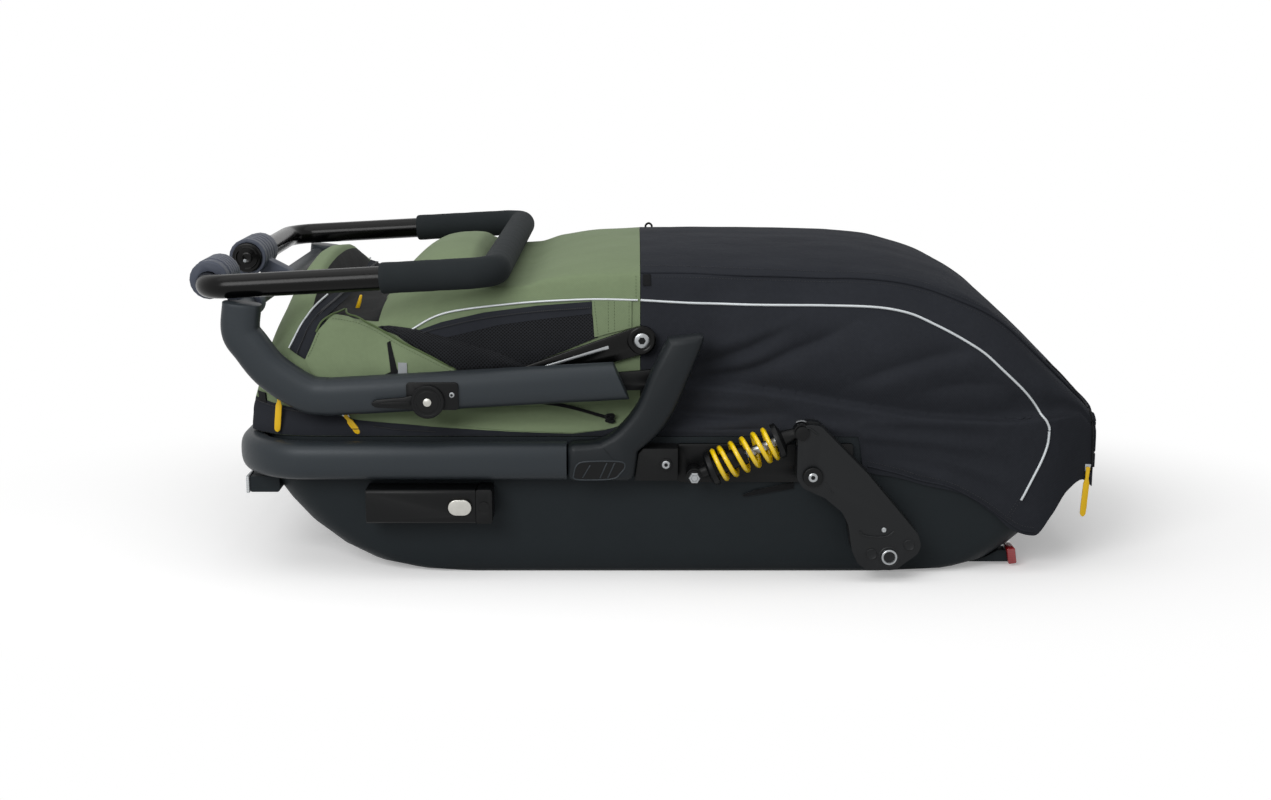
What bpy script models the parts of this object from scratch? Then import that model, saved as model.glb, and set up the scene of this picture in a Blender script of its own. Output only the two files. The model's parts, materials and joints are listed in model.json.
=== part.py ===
"""A dog bike trailer, folded flat with its wheels off: tub, folding hoop, push bar, suspension and covers.

The trailer lies on its tub. Its front points along -X, its left side faces -Y, and +Z is up.
All sizes are in metres. Pieces that come in pairs are made by one function for each side.
"""
import math

import bmesh
import bpy
from mathutils import Matrix, Vector

LEFT = -1
RIGHT = 1
SIDE_NAMES = {LEFT: "left", RIGHT: "right"}

# Clearances
GAP = 0.0003
TURNING_FIT = 0.0002
LAYER_GAP = 0.0005

# Facets of a quarter bend, the same for a tube and for what it lies against
CORNER_STEPS = 5

# Lower frame: an oval tube round the front of the tub
RAIL_MID = 0.280
RAIL_WIDTH = 0.035
RAIL_HEIGHT = 0.044
RAIL_Z = 0.1415
RAIL_REAR_X = -0.0935
FRAME_FRONT_X = -0.466
FRAME_CORNER_RADIUS = 0.075
TUBE_SQUARENESS = 2.7

RAIL_IN = RAIL_MID - RAIL_WIDTH / 2
RAIL_OUT = RAIL_MID + RAIL_WIDTH / 2
RAIL_TOP = RAIL_Z + RAIL_HEIGHT / 2
RAIL_BOTTOM = RAIL_Z - RAIL_HEIGHT / 2

# Tub
TUB_HALF_WIDTH = RAIL_IN - GAP
TUB_RIM_Z = 0.165
TUB_WALL = 0.004
TUB_FRONT_X = FRAME_FRONT_X + RAIL_WIDTH / 2 + GAP
TUB_REAR_X = 0.487
TUB_CORNER_RADIUS = FRAME_CORNER_RADIUS - RAIL_WIDTH / 2
TUB_LEDGE_Z = RAIL_BOTTOM - LAYER_GAP
TUB_BELLY_Z = 0.100
TUB_BELLY_INSET = 0.0015
TUB_FOOT_INSET = 0.0100
TUB_FLAT_FRONT_X = -0.262
TUB_FLAT_REAR_X = 0.330
MAT_THICKNESS = 0.006
MAT_MARGIN = 0.014

# Folding hoop, its axis and its rest on the post
FOLD_X = 0.0260
FOLD_Z = 0.2335
FOLD_DEG = 107.0
POST_TOP_X = 0.0442
POST_TOP_Z = 0.2874
POST_TOP_TILT_DEG = 7.0
HOOP_HEIGHT = 0.0433
HOOP_BEND = ((-0.3645, 0.2164), (-0.3913, 0.2205), (-0.4296, 0.2458), (-0.4519, 0.2740), (-0.4632, 0.2932))
HOOP_TIP_X = -0.4605
HOOP_TIP_Z = 0.3245
CROSS_TUBE_RADIUS = 0.0105
HINGE_ARM_THICKNESS = 0.006
HINGE_ARM_HALF_HEIGHT = 0.0085
HINGE_ARM_LENGTH = 0.125
HINGE_BOSS_RADIUS = 0.0125
HINGE_PIN_RADIUS = 0.005
HINGE_PIN_DEPTH = 0.022
HINGE_HEAD_RADIUS = 0.0105
HINGE_HEAD_THICKNESS = 0.003

HINGE_ARM_OUT = RAIL_IN - GAP
HINGE_ARM_IN = HINGE_ARM_OUT - HINGE_ARM_THICKNESS

# Stay hub and stay arm, in the layer inside the hinge arm
HUB_X = -0.007
HUB_Z = 0.277
HUB_RADIUS = 0.0165
HUB_CAP_THICKNESS = 0.0045
HUB_BOLT_RADIUS = 0.004
STAY_THICKNESS = 0.0055
STAY_LENGTH = 0.190
STAY_TIP_RADIUS = 0.009
STAY_REST_DEG = 17.5

HUB_CAP_OUT = HINGE_ARM_IN - LAYER_GAP
HUB_CAP_IN = HUB_CAP_OUT - HUB_CAP_THICKNESS
STAY_OUT = HUB_CAP_IN - GAP
STAY_IN = STAY_OUT - STAY_THICKNESS

# Lock of the folded hoop
LOCK_X = -0.2499
LOCK_Z = 0.2154
LOCK_PLATE_THICKNESS = 0.0032
LOCK_DISC_RADIUS = 0.0195
LOCK_LEVER_THICKNESS = 0.007
LOCK_LEVER_LENGTH = 0.059
LOCK_TIP_RADIUS = 0.0045
LOCK_PIN_RADIUS = 0.0045
LOCK_PIN_LENGTH = 0.0095
LOCK_PLATE_FRONT = 0.0246
LOCK_PLATE_REAR = 0.0344
LOCK_PLATE_TOP = 0.0215
LOCK_PLATE_BOTTOM = 0.0105
LOCK_PLATE_CORNER = 0.004

# Push bar and its two joints
BAR_AXIS_X = -0.508
BAR_AXIS_Z = 0.3445
BAR_DROP = 0.004
BAR_SLOPE_DEG = 3.1
BAR_ARM_Y = 0.270
BAR_BEND_RADIUS = 0.034
BAR_RADIUS = 0.0138
BAR_FACETS = 14
BAR_REACH = 0.333
BAR_CORNER_RADIUS = 0.030
GRIP_STARTS = {LEFT: 0.204, RIGHT: 0.181}
GRIP_RADIUS = 0.0178
GRIP_X = BAR_AXIS_X + BAR_REACH
GRIP_UNDERSIDE_Z = BAR_AXIS_Z - BAR_DROP + BAR_REACH * math.sin(math.radians(BAR_SLOPE_DEG)) - GRIP_RADIUS
KNUCKLE_RADIUS = 0.0235
COLLAR_RADIUS = 0.0225
COLLAR_LENGTH = 0.018
COLLAR_GRIP = 0.0125
SPIGOT_RADIUS = 0.010
SPIGOT_LENGTH = 0.018
KNUCKLE_SPANS = {LEFT: (-0.236, -0.172), RIGHT: (0.060, -0.026)}
KNUCKLE_RIBS = 4
KNUCKLE_RIB_DEPTH = 0.0012
BUTTON_RADIUS = 0.0187
BUTTON_INSIDE = 0.005
BUTTON_OUTSIDE = 0.0045
BUTTON_WELL = 0.0100
BRACKET_WIDTH = 0.024
BRACKET_RING_RADIUS = 0.0165

CROSS_X = HOOP_TIP_X - 0.0095
CROSS_Z = HOOP_TIP_Z - CROSS_TUBE_RADIUS - 0.002

# Corner post casting behind the rail's end
POST_FRONT_EDGE = ((-0.0620, 0.1650), (-0.0450, 0.1715), (-0.0287, 0.1857), (-0.0117, 0.2090),
                   (0.0019, 0.2426), (0.0130, 0.2660))
POST_REAR_EDGE = ((0.0506, 0.2507), (0.0304, 0.2021), (0.0123, 0.1752))
POST_HEEL_X = -0.0116
POST_HEEL_Z = 0.1541
POST_TOE_X = -0.0162
POST_EDGE_RADIUS = 0.008
FOOT_REAR_X = 0.0343
FOOT_WIDTH = 0.028
FOOT_TOP_Z = 0.1575
FOOT_SCREW_X = 0.0205
FOOT_SCREW_Z = 0.1393
FOOT_SCREW_RADIUS = 0.0070
FOOT_SCREW_HEIGHT = 0.003

# Suspension
SUSPENSION_BAR_THICKNESS = 0.006
SUSPENSION_BAR_REAR_X = 0.238
SUSPENSION_BAR_BOTTOM_Z = 0.112
SUSPENSION_BAR_TOP_Z = 0.158
ARM_PIVOT_X = 0.1882
ARM_PIVOT_Z = 0.1273
ARM_TRAVEL_DEG = 18.0
ARM_THICKNESS = 0.0325
ARM_BOLT_RADIUS = 0.006
ARM_HEAD_RADIUS = 0.0115
ARM_HEAD_THICKNESS = 0.0045
ARM_OUTLINE = ((0.1818, 0.1886), (0.1706, 0.1781), (0.1704, 0.1241), (0.1775, 0.1135), (0.2030, 0.1016),
               (0.2229, 0.0850), (0.2302, 0.0707), (0.2356, 0.0383), (0.2429, 0.0227), (0.2511, 0.0175),
               (0.2790, 0.0155), (0.2871, 0.0165), (0.3119, 0.0355), (0.3150, 0.0456), (0.3111, 0.0587),
               (0.2516, 0.1300), (0.1966, 0.1863))
ARM_EDGE_RADIUS = 0.0025
AXLE_X = 0.2785
AXLE_Z = 0.0315
AXLE_BORE_RADIUS = 0.0064
AXLE_BUSH_RADIUS = 0.0089
AXLE_BUSH_PROUD = 0.0015
SHOCK_FRONT_X = 0.053
SHOCK_FRONT_Z = 0.1262
SHOCK_REAR_X = 0.1754
SHOCK_REAR_Z = 0.1782
SHOCK_EYE_RADIUS = 0.0095
SHOCK_EYE_WIDTH = 0.0148
SHOCK_EYE_BORE = 0.0064
SHOCK_BOLT_RADIUS = 0.0045
SHOCK_BOLT_HEAD_RADIUS = 0.008
SHOCK_BOLT_HEAD = 0.005
SHOCK_SPACER_RADIUS = 0.008
SHOCK_TUBE_RADIUS = 0.0115
SHOCK_TUBE_END = 0.064
SHOCK_BORE_START = 0.024
SHOCK_ROD_RADIUS = 0.0056
SHOCK_ROD_START = 0.044
SHOCK_SEAT_RADIUS = 0.0208
SHOCK_SEAT_THICKNESS = 0.0055
SHOCK_FRONT_SEAT = 0.0195
SHOCK_REAR_SEAT = 0.1015
SPRING_WIRE_RADIUS = 0.00275
SPRING_OUTER_RADIUS = 0.021
SPRING_TURNS = 6
SPRING_END_PITCH = 0.0075
POINTS_PER_TURN = 9

PLATE_OUT = RAIL_IN + SUSPENSION_BAR_THICKNESS
ARM_IN = PLATE_OUT + LAYER_GAP
ARM_OUT = ARM_IN + ARM_THICKNESS
SHOCK_MID = PLATE_OUT + 0.001 + SPRING_OUTER_RADIUS
CLEVIS_ROOM = 0.0009
CLEVIS_FRONT_X = 0.150
CLEVIS_REAR_X = 0.1965
CLEVIS_BOTTOM_Z = 0.1600
CLEVIS_TOP_Z = 0.200

# Drawbar socket on the left side
SOCKET_FRONT_X = -0.325
SOCKET_REAR_X = -0.1985
SOCKET_BOTTOM_Z = 0.070
SOCKET_TOP_Z = 0.1105
SOCKET_IN = TUB_HALF_WIDTH - 0.0003
SOCKET_OUT = RAIL_OUT
SOCKET_WALL = 0.003
SOCKET_END_X = -0.1795
SOCKET_END_HOLE_X = -0.189
SOCKET_END_HOLE_RADIUS = 0.0055
SOCKET_END_HOLE_DEPTH = 0.012
HITCH_BUTTON_X = -0.2165
HITCH_BUTTON_Z = 0.0901
HITCH_BUTTON_LENGTH = 0.027
HITCH_BUTTON_HEIGHT = 0.0185
HITCH_BUTTON_PROUD = 0.0042
HITCH_BUTTON_INSIDE = 0.0055

# Reflectors
FRONT_REFLECTOR_Y = (-0.245, -0.195)
FRONT_REFLECTOR_Z = (0.0925, 0.1135)
FRONT_REFLECTOR_X = -0.4735
FRONT_REFLECTOR_THICKNESS = 0.0036
FRONT_LUG_REAR_X = -0.4345
REAR_REFLECTOR_Y = (-0.238, -0.206)
REAR_REFLECTOR_HEIGHT = 0.0195
REAR_REFLECTOR_WIDTH = 0.010
REAR_REFLECTOR_X = 0.4308
REAR_REFLECTOR_Z = 0.0030
REAR_REFLECTOR_LEAN_DEG = 8.0
REAR_LUG_BOTTOM_Z = 0.0050
REAR_LUG_KNEE_Z = 0.011
LUG_BITE = 0.004

# Covers: fabric walls, and the profile stations of each from the seam outwards
FABRIC = 0.003
SEAM_X = -0.009
COVER_HEM_HALF = TUB_HALF_WIDTH - 0.001
COVER_HEM_Z = TUB_RIM_Z + 0.0006
COVER_KNEE_Z = COVER_HEM_Z + 0.010
COVER_BELT = 0.020
COVER_LEAST_WALL = 0.030
COVER_WAIST_HALF = STAY_IN - 0.0019
COVER_SKIRT_HALF = TUB_HALF_WIDTH + GAP + FABRIC
COVER_UNDER_GRIP_Z = GRIP_UNDERSIDE_Z - 0.0015
EDGE_HALF = 0.232
HUB_HOLE_RADIUS = 0.006

# Columns: x, half width at the hem, at the waist, at the top edge, hem height, edge height, crown height
FRONT_STATIONS = (
    (-0.0095, COVER_HEM_HALF, COVER_WAIST_HALF, EDGE_HALF, COVER_HEM_Z, 0.3505, 0.3700),
    (-0.0600, COVER_HEM_HALF, COVER_WAIST_HALF, EDGE_HALF, COVER_HEM_Z, 0.3500, 0.3650),
    (GRIP_X + 0.0600, COVER_HEM_HALF, COVER_WAIST_HALF, EDGE_HALF, COVER_HEM_Z, 0.3460, 0.3520),
    (GRIP_X + 0.0270, COVER_HEM_HALF, COVER_WAIST_HALF, EDGE_HALF, COVER_HEM_Z, COVER_UNDER_GRIP_Z - 0.0017,
     COVER_UNDER_GRIP_Z),
    (GRIP_X - 0.0250, COVER_HEM_HALF, COVER_WAIST_HALF, EDGE_HALF, COVER_HEM_Z, COVER_UNDER_GRIP_Z - 0.0052,
     COVER_UNDER_GRIP_Z - 0.0007),
    (GRIP_X - 0.0600, COVER_HEM_HALF, 0.2480, EDGE_HALF, COVER_HEM_Z, 0.3180, 0.3520),
    (-0.2700, COVER_HEM_HALF, 0.2520, EDGE_HALF, COVER_HEM_Z, 0.2990, 0.3430),
    (-0.3000, COVER_HEM_HALF, 0.2560, EDGE_HALF, COVER_HEM_Z, 0.2840, 0.3060),
    (-0.3350, COVER_HEM_HALF, 0.2580, EDGE_HALF, COVER_HEM_Z, 0.2960, 0.3080),
    (-0.3850, COVER_HEM_HALF, 0.2580, 0.2280, COVER_HEM_Z, 0.3000, 0.3220),
    (-0.4250, 0.2520, 0.2460, 0.2180, COVER_HEM_Z, 0.2820, 0.3000),
    (-0.4440, 0.2360, 0.2260, 0.2020, COVER_HEM_Z, 0.2600, 0.2720),
)
REAR_STATIONS = (
    (-0.0085, COVER_HEM_HALF, COVER_WAIST_HALF, EDGE_HALF, COVER_HEM_Z, 0.3505, 0.3700),
    (0.0700, COVER_HEM_HALF, COVER_WAIST_HALF, EDGE_HALF, COVER_HEM_Z, 0.3500, 0.3715),
    (0.1200, COVER_HEM_HALF, 0.2540, EDGE_HALF, COVER_HEM_Z, 0.3490, 0.3715),
    (0.1950, COVER_HEM_HALF, 0.2590, EDGE_HALF, COVER_HEM_Z, 0.3475, 0.3705),
    (0.2380, COVER_HEM_HALF, 0.2600, EDGE_HALF, COVER_HEM_Z, 0.3460, 0.3690),
    (0.2460, COVER_SKIRT_HALF, 0.2630, EDGE_HALF, COVER_HEM_Z, 0.3450, 0.3680),
    (0.2520, COVER_SKIRT_HALF, 0.2640, EDGE_HALF, 0.1260, 0.3448, 0.3675),
    (0.2900, COVER_SKIRT_HALF, 0.2640, EDGE_HALF, 0.1170, 0.3425, 0.3635),
    (0.3225, COVER_SKIRT_HALF, 0.2640, EDGE_HALF, 0.1080, 0.3365, 0.3550),
    (0.3640, COVER_SKIRT_HALF, 0.2630, 0.2300, 0.0980, 0.3245, 0.3410),
    (0.4020, COVER_SKIRT_HALF, 0.2620, 0.2270, 0.0750, 0.3030, 0.3185),
    (0.4300, COVER_SKIRT_HALF, 0.2600, 0.2230, 0.0520, 0.2800, 0.2940),
    (0.4540, 0.2630, 0.2560, 0.2180, 0.0460, 0.2590, 0.2710),
    (0.4750, 0.2560, 0.2480, 0.2130, 0.0690, 0.2385, 0.2500),
    (0.4950, 0.2430, 0.2370, 0.2060, 0.1000, 0.2200, 0.2300),
    (0.5150, 0.2280, 0.2230, 0.1980, 0.1080, 0.2000, 0.2090),
    (0.5315, 0.2140, 0.2100, 0.1900, 0.0930, 0.1830, 0.1910),
)
BOW_RADIUS = 0.006
BOW_CLEARANCE = 0.0020
BOW_FOOT_Z = 0.122
BOW_KNEE_Z = 0.148
BOW_CROWN_DROP = 0.001

# Zip pulls and the elastic cord
PULL_THICKNESS = 0.0024
PULL_HALF_WIDTH = 0.0032
FRONT_PULL = ((-0.4080, COVER_HEM_Z + 0.0354), (-0.4110, COVER_HEM_Z + 0.0054))
SIDE_PULL = ((-0.3497, COVER_HEM_Z + 0.0236), (-0.3370, COVER_HEM_Z + 0.0058))
REAR_PULL = ((0.5225, 0.1171), (0.5190, 0.0624))
CORD_RADIUS = 0.002
CORD_CLEARANCE = 0.0010
CORD_POINTS = ((-0.2300, 0.1953), (-0.1900, 0.2000), (-0.1497, 0.2036), (-0.1000, 0.1990), (-0.0442, 0.1857))

MATERIAL_TABLE = {
    "tub_plastic": ("#2A2E30", 0.55, 0.0),
    "frame_paint": ("#3A3E42", 0.42, 0.3),
    "black_plastic": ("#17181A", 0.45, 0.0),
    "gloss_black": ("#0D0E0F", 0.18, 0.2),
    "foam": ("#2A2E2F", 0.90, 0.0),
    "mat_foam": ("#33363A", 0.95, 0.0),
    "steel": ("#B9BCBE", 0.30, 1.0),
    "grey_plastic": ("#4B4F55", 0.50, 0.0),
    "green_fabric": ("#899E75", 0.85, 0.0),
    "black_fabric": ("#232528", 0.85, 0.0),
    "spring_yellow": ("#FFE114", 0.35, 0.0),
    "pull_yellow": ("#F2D21A", 0.60, 0.0),
    "reflector_white": ("#D8DBDC", 0.15, 0.0),
    "reflector_red": ("#B3121C", 0.15, 0.0),
}
MATERIALS = {}


# Colours and materials
def linear(channel):
    """One sRGB channel as linear light."""
    if channel <= 0.04045:
        return channel / 12.92
    return ((channel + 0.055) / 1.055) ** 2.4


def make_materials():
    for name, (colour, roughness, metallic) in MATERIAL_TABLE.items():
        channels = [linear(int(colour[i:i + 2], 16) / 255.0) for i in (1, 3, 5)]
        material = bpy.data.materials.new(name)
        material.use_nodes = True
        shader = material.node_tree.nodes["Principled BSDF"]
        shader.inputs["Base Color"].default_value = (*channels, 1.0)
        shader.inputs["Roughness"].default_value = roughness
        shader.inputs["Metallic"].default_value = metallic
        MATERIALS[name] = material


# Objects
def add_object(name, bm, material, origin=(0.0, 0.0, 0.0), sharp_deg=40.0):
    """A mesh object whose own origin is the given point, shaded smooth between soft edges."""
    bmesh.ops.recalc_face_normals(bm, faces=bm.faces)
    bmesh.ops.translate(bm, verts=bm.verts, vec=-Vector(origin))
    mesh = bpy.data.meshes.new(name)
    bm.to_mesh(mesh)
    bm.free()
    mesh.shade_smooth()
    mesh.set_sharp_from_angle(angle=math.radians(sharp_deg))
    mesh.materials.append(MATERIALS[material])
    obj = bpy.data.objects.new(name, mesh)
    obj.location = origin
    bpy.context.scene.collection.objects.link(obj)
    return obj


def as_tool(obj):
    """Keeps an object as a cutter or a joined lump: it is not a piece of the trailer."""
    obj.hide_render = True
    obj.display_type = "WIRE"
    return obj


def combine(obj, tool, operation):
    modifier = obj.modifiers.new(operation.lower(), "BOOLEAN")
    modifier.operation = operation
    modifier.solver = "EXACT"
    modifier.object = as_tool(tool)


def soften(obj, width, segments=2, limit_deg=50.0):
    bevel = obj.modifiers.new("soft_edges", "BEVEL")
    bevel.width = width
    bevel.segments = segments
    bevel.limit_method = "ANGLE"
    bevel.angle_limit = math.radians(limit_deg)


# Outlines
def circle(x, z, radius, count=16):
    steps = [2 * math.pi * i / count for i in range(count)]
    return [(x + radius * math.cos(a), z + radius * math.sin(a)) for a in steps]


def capsule(start, end, radius_start, radius_end, count=10):
    """The outline round two circles, as a belt round two pulleys."""
    along = math.atan2(end[1] - start[1], end[0] - start[0])
    distance = math.hypot(end[0] - start[0], end[1] - start[1])
    flare = math.acos((radius_start - radius_end) / distance)
    points = []
    for i in range(count + 1):
        a = along + flare + (2 * math.pi - 2 * flare) * i / count
        points.append((start[0] + radius_start * math.cos(a), start[1] + radius_start * math.sin(a)))
    for i in range(count + 1):
        a = along - flare + 2 * flare * i / count
        points.append((end[0] + radius_end * math.cos(a), end[1] + radius_end * math.sin(a)))
    return points


def rounded_rectangle(x0, x1, z0, z1, radius, steps=4):
    corners = ((x1 - radius, z0 + radius, -90), (x1 - radius, z1 - radius, 0),
               (x0 + radius, z1 - radius, 90), (x0 + radius, z0 + radius, 180))
    points = []
    for x, z, start in corners:
        for i in range(steps + 1):
            a = math.radians(start + 90 * i / steps)
            points.append((x + radius * math.cos(a), z + radius * math.sin(a)))
    return points


def rounded_polygon(corners, radius, steps=3):
    """A closed outline whose corners are arcs, smaller where a side is short."""
    points = []
    count = len(corners)
    for i in range(count):
        before = Vector(corners[i - 1])
        here = Vector(corners[i])
        after = Vector(corners[(i + 1) % count])
        to_before = before - here
        to_after = after - here
        angle = to_before.angle(to_after)
        cut = min(radius / math.tan(angle / 2), 0.45 * to_before.length, 0.45 * to_after.length)
        start = here + to_before.normalized() * cut
        end = here + to_after.normalized() * cut
        for k in range(steps + 1):
            t = k / steps
            point = start * (1 - t) ** 2 + here * 2 * t * (1 - t) + end * t ** 2
            points.append((point.x, point.y))
    return points


def smooth_curve(points, steps):
    """A Catmull-Rom curve through the points, given as vectors."""
    padded = [points[0] * 2 - points[1], *points, points[-1] * 2 - points[-2]]
    curve = []
    for i in range(1, len(padded) - 2):
        p0, p1, p2, p3 = padded[i - 1:i + 3]
        for k in range(steps):
            t = k / steps
            curve.append(0.5 * (2 * p1 + (p2 - p0) * t + (2 * p0 - 5 * p1 + 4 * p2 - p3) * t ** 2
                                + (3 * p1 - p0 - 3 * p2 + p3) * t ** 3))
    curve.append(points[-1].copy())
    return curve


def round_path(points, radius, steps=CORNER_STEPS):
    """An open path whose inner corners are arcs of one radius."""
    path = [points[0]]
    for before, here, after in zip(points, points[1:], points[2:]):
        to_before = (before - here).normalized()
        to_after = (after - here).normalized()
        angle = to_before.angle(to_after)
        start = here + to_before * (radius / math.tan(angle / 2))
        centre = here + (to_before + to_after).normalized() * (radius / math.sin(angle / 2))
        end = here + to_after * (radius / math.tan(angle / 2))
        axis = (start - centre).cross(end - centre).normalized()
        for k in range(steps + 1):
            turn = Matrix.Rotation((math.pi - angle) * k / steps, 3, axis)
            path.append(centre + turn @ (start - centre))
    path.append(points[-1])
    return path


def oval(height, width, count=16):
    """A flattened oval: a superellipse, with its height first."""
    points = []
    for i in range(count):
        a = 2 * math.pi * (i + 0.5) / count
        c = math.cos(a)
        s = math.sin(a)
        points.append((height / 2 * math.copysign(abs(c) ** (2 / TUBE_SQUARENESS), c),
                       width / 2 * math.copysign(abs(s) ** (2 / TUBE_SQUARENESS), s)))
    return points


# Solids
def skin(bm, rings, closed=True):
    """Joins each ring of vertices to the next with quads."""
    count = len(rings[0])
    for ring, following in zip(rings, rings[1:]):
        for i in range(count if closed else count - 1):
            j = (i + 1) % count
            bm.faces.new((ring[i], ring[j], following[j], following[i]))


def ring_of(bm, points):
    return [bm.verts.new(p) for p in points]


def plate(name, outline, y_from, y_to, material, holes=(), **options):
    """An outline in the side view, pushed from one depth to another, with through holes."""
    bm = bmesh.new()
    edges = []
    for loop in (outline, *holes):
        verts = [bm.verts.new((x, y_from, z)) for x, z in loop]
        for i, vert in enumerate(verts):
            edges.append(bm.edges.new((vert, verts[(i + 1) % len(verts)])))
    bmesh.ops.triangle_fill(bm, use_beauty=True, edges=edges)
    pushed = bmesh.ops.extrude_face_region(bm, geom=list(bm.faces))
    moved = [item for item in pushed["geom"] if isinstance(item, bmesh.types.BMVert)]
    bmesh.ops.translate(bm, verts=moved, vec=(0.0, y_to - y_from, 0.0))
    return add_object(name, bm, material, **options)


def block(name, low, high, radius, material, **options):
    """A box with rounded corners in the side view."""
    outline = rounded_rectangle(low[0], high[0], low[2], high[2], radius)
    return plate(name, outline, low[1], high[1], material, **options)


def sweep(name, path, section, normal, material, bore=None, start_normal=None, **options):
    """A section carried along a path that lies square to one direction, solid or with a bore."""
    bm = bmesh.new()
    outer = []
    inner = []
    for i, point in enumerate(path):
        ahead = path[min(i + 1, len(path) - 1)] - path[max(i - 1, 0)]
        tangent = ahead.normalized()
        across = normal.cross(tangent).normalized()

        def ring(shape):
            points = [point + normal * a + across * b for a, b in shape]
            if i == 0 and start_normal is not None:
                points = [p - tangent * ((p - point).dot(start_normal) / tangent.dot(start_normal))
                          for p in points]
            return ring_of(bm, points)

        outer.append(ring(section))
        if bore:
            inner.append(ring(bore))
    skin(bm, outer)
    if bore:
        skin(bm, inner)
        for end in (0, -1):
            skin(bm, (outer[end], inner[end]))
    else:
        bm.faces.new(outer[0])
        bm.faces.new(outer[-1])
    return add_object(name, bm, material, **options)


def turned(name, profile, base, direction, material, closed=False, count=20, **options):
    """A profile of (distance along, radius) points turned round an axis."""
    direction = Vector(direction).normalized()
    helper = Vector((0.0, 0.0, 1.0)) if abs(direction.z) < 0.9 else Vector((1.0, 0.0, 0.0))
    u = direction.cross(helper).normalized()
    v = direction.cross(u)
    bm = bmesh.new()
    rings = []
    for along, radius in profile:
        centre = Vector(base) + direction * along
        angles = [2 * math.pi * i / count for i in range(count)]
        rings.append(ring_of(bm, [centre + (u * math.cos(a) + v * math.sin(a)) * radius for a in angles]))
    skin(bm, rings)
    if closed:
        skin(bm, (rings[-1], rings[0]))
    else:
        bm.faces.new(rings[0])
        bm.faces.new(rings[-1])
    return add_object(name, bm, material, **options)


def round_bar(name, x, z, y_from, y_to, radius, material, count=16, **options):
    """A plain cylinder across the trailer."""
    return turned(name, ((0.0, radius), (abs(y_to - y_from), radius)), (x, y_from, z),
                  (0.0, math.copysign(1.0, y_to - y_from), 0.0), material, count=count, **options)


def round_tube(name, path, radius, material, **options):
    """A round tube along a free path, as a filled curve turned into a mesh by its bevel."""
    curve = bpy.data.curves.new(name, "CURVE")
    curve.dimensions = "3D"
    curve.bevel_depth = radius
    curve.bevel_resolution = options.get("resolution", 2)
    curve.use_fill_caps = True
    spline = curve.splines.new("POLY")
    spline.points.add(len(path) - 1)
    origin = Vector(options.get("origin", (0.0, 0.0, 0.0)))
    for point, place in zip(spline.points, path):
        point.co = (*(place - origin), 1.0)
    curve.materials.append(MATERIALS[material])
    obj = bpy.data.objects.new(name, curve)
    obj.location = origin
    bpy.context.scene.collection.objects.link(obj)
    return obj


# Tub
def plan_loop(x_front, x_rear, half_width, radius, z, steps=CORNER_STEPS):
    return [Vector((x, y, z)) for x, y in
            rounded_rectangle(x_front, x_rear, -half_width, half_width, radius, steps)]


def tub_levels():
    """Height, front, rear and half width of the tub's outside, from the floor up to the rim."""
    foot = TUB_HALF_WIDTH - TUB_FOOT_INSET
    belly = TUB_HALF_WIDTH - TUB_BELLY_INSET
    return (
        (0.0, TUB_FLAT_FRONT_X, TUB_FLAT_REAR_X, foot),
        (0.004, TUB_FLAT_FRONT_X - 0.038, TUB_FLAT_REAR_X + 0.055, foot + 0.0048),
        (0.012, TUB_FLAT_FRONT_X - 0.073, TUB_FLAT_REAR_X + 0.082, foot + 0.0062),
        (0.030, TUB_FRONT_X + 0.0785, TUB_REAR_X - 0.049, foot + 0.0070),
        (0.056, TUB_FRONT_X + 0.0450, TUB_REAR_X - 0.019, belly - 0.0010),
        (0.082, TUB_FRONT_X + 0.0220, TUB_REAR_X - 0.007, belly - 0.0005),
        (TUB_BELLY_Z, TUB_FRONT_X + 0.0095, TUB_REAR_X - 0.003, belly),
        (TUB_LEDGE_Z, TUB_FRONT_X, TUB_REAR_X - 0.001, TUB_HALF_WIDTH),
        (TUB_RIM_Z, TUB_FRONT_X, TUB_REAR_X, TUB_HALF_WIDTH),
    )


def make_tub():
    bm = bmesh.new()
    rings = [ring_of(bm, plan_loop(front, rear, half, TUB_CORNER_RADIUS, z))
             for z, front, rear, half in tub_levels()]
    for z, front, rear, half in reversed(tub_levels()[2:]):
        rings.append(ring_of(bm, plan_loop(front + TUB_WALL, rear - TUB_WALL, half - TUB_WALL,
                                           TUB_CORNER_RADIUS - TUB_WALL, z)))
    z, front, rear, half = tub_levels()[0]
    rings.append(ring_of(bm, plan_loop(front + TUB_WALL, rear - TUB_WALL, half - TUB_WALL,
                                       TUB_CORNER_RADIUS - TUB_WALL, TUB_WALL)))
    skin(bm, rings)
    bm.faces.new(rings[0])
    bm.faces.new(rings[-1])
    tub = add_object("tub_shell", bm, "tub_plastic")
    for lug in (front_lug(), rear_lug()):
        combine(tub, lug, "UNION")
    bm = bmesh.new()
    bottom = TUB_WALL + GAP
    mat = [ring_of(bm, plan_loop(TUB_FLAT_FRONT_X + MAT_MARGIN, TUB_FLAT_REAR_X - MAT_MARGIN,
                                 tub_levels()[0][3] - MAT_MARGIN, TUB_CORNER_RADIUS - MAT_MARGIN, level))
           for level in (bottom, bottom + MAT_THICKNESS)]
    skin(bm, mat)
    bm.faces.new(mat[0])
    bm.faces.new(mat[1])
    add_object("floor_mat", bm, "mat_foam")


# Lower frame
def make_base_frame():
    corners = [Vector((RAIL_REAR_X, -RAIL_MID, RAIL_Z)), Vector((FRAME_FRONT_X, -RAIL_MID, RAIL_Z)),
               Vector((FRAME_FRONT_X, RAIL_MID, RAIL_Z)), Vector((RAIL_REAR_X, RAIL_MID, RAIL_Z))]
    path = round_path(corners, FRAME_CORNER_RADIUS)
    sweep("base_frame_tube", path, oval(RAIL_HEIGHT, RAIL_WIDTH), Vector((0.0, 0.0, 1.0)), "frame_paint")


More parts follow.
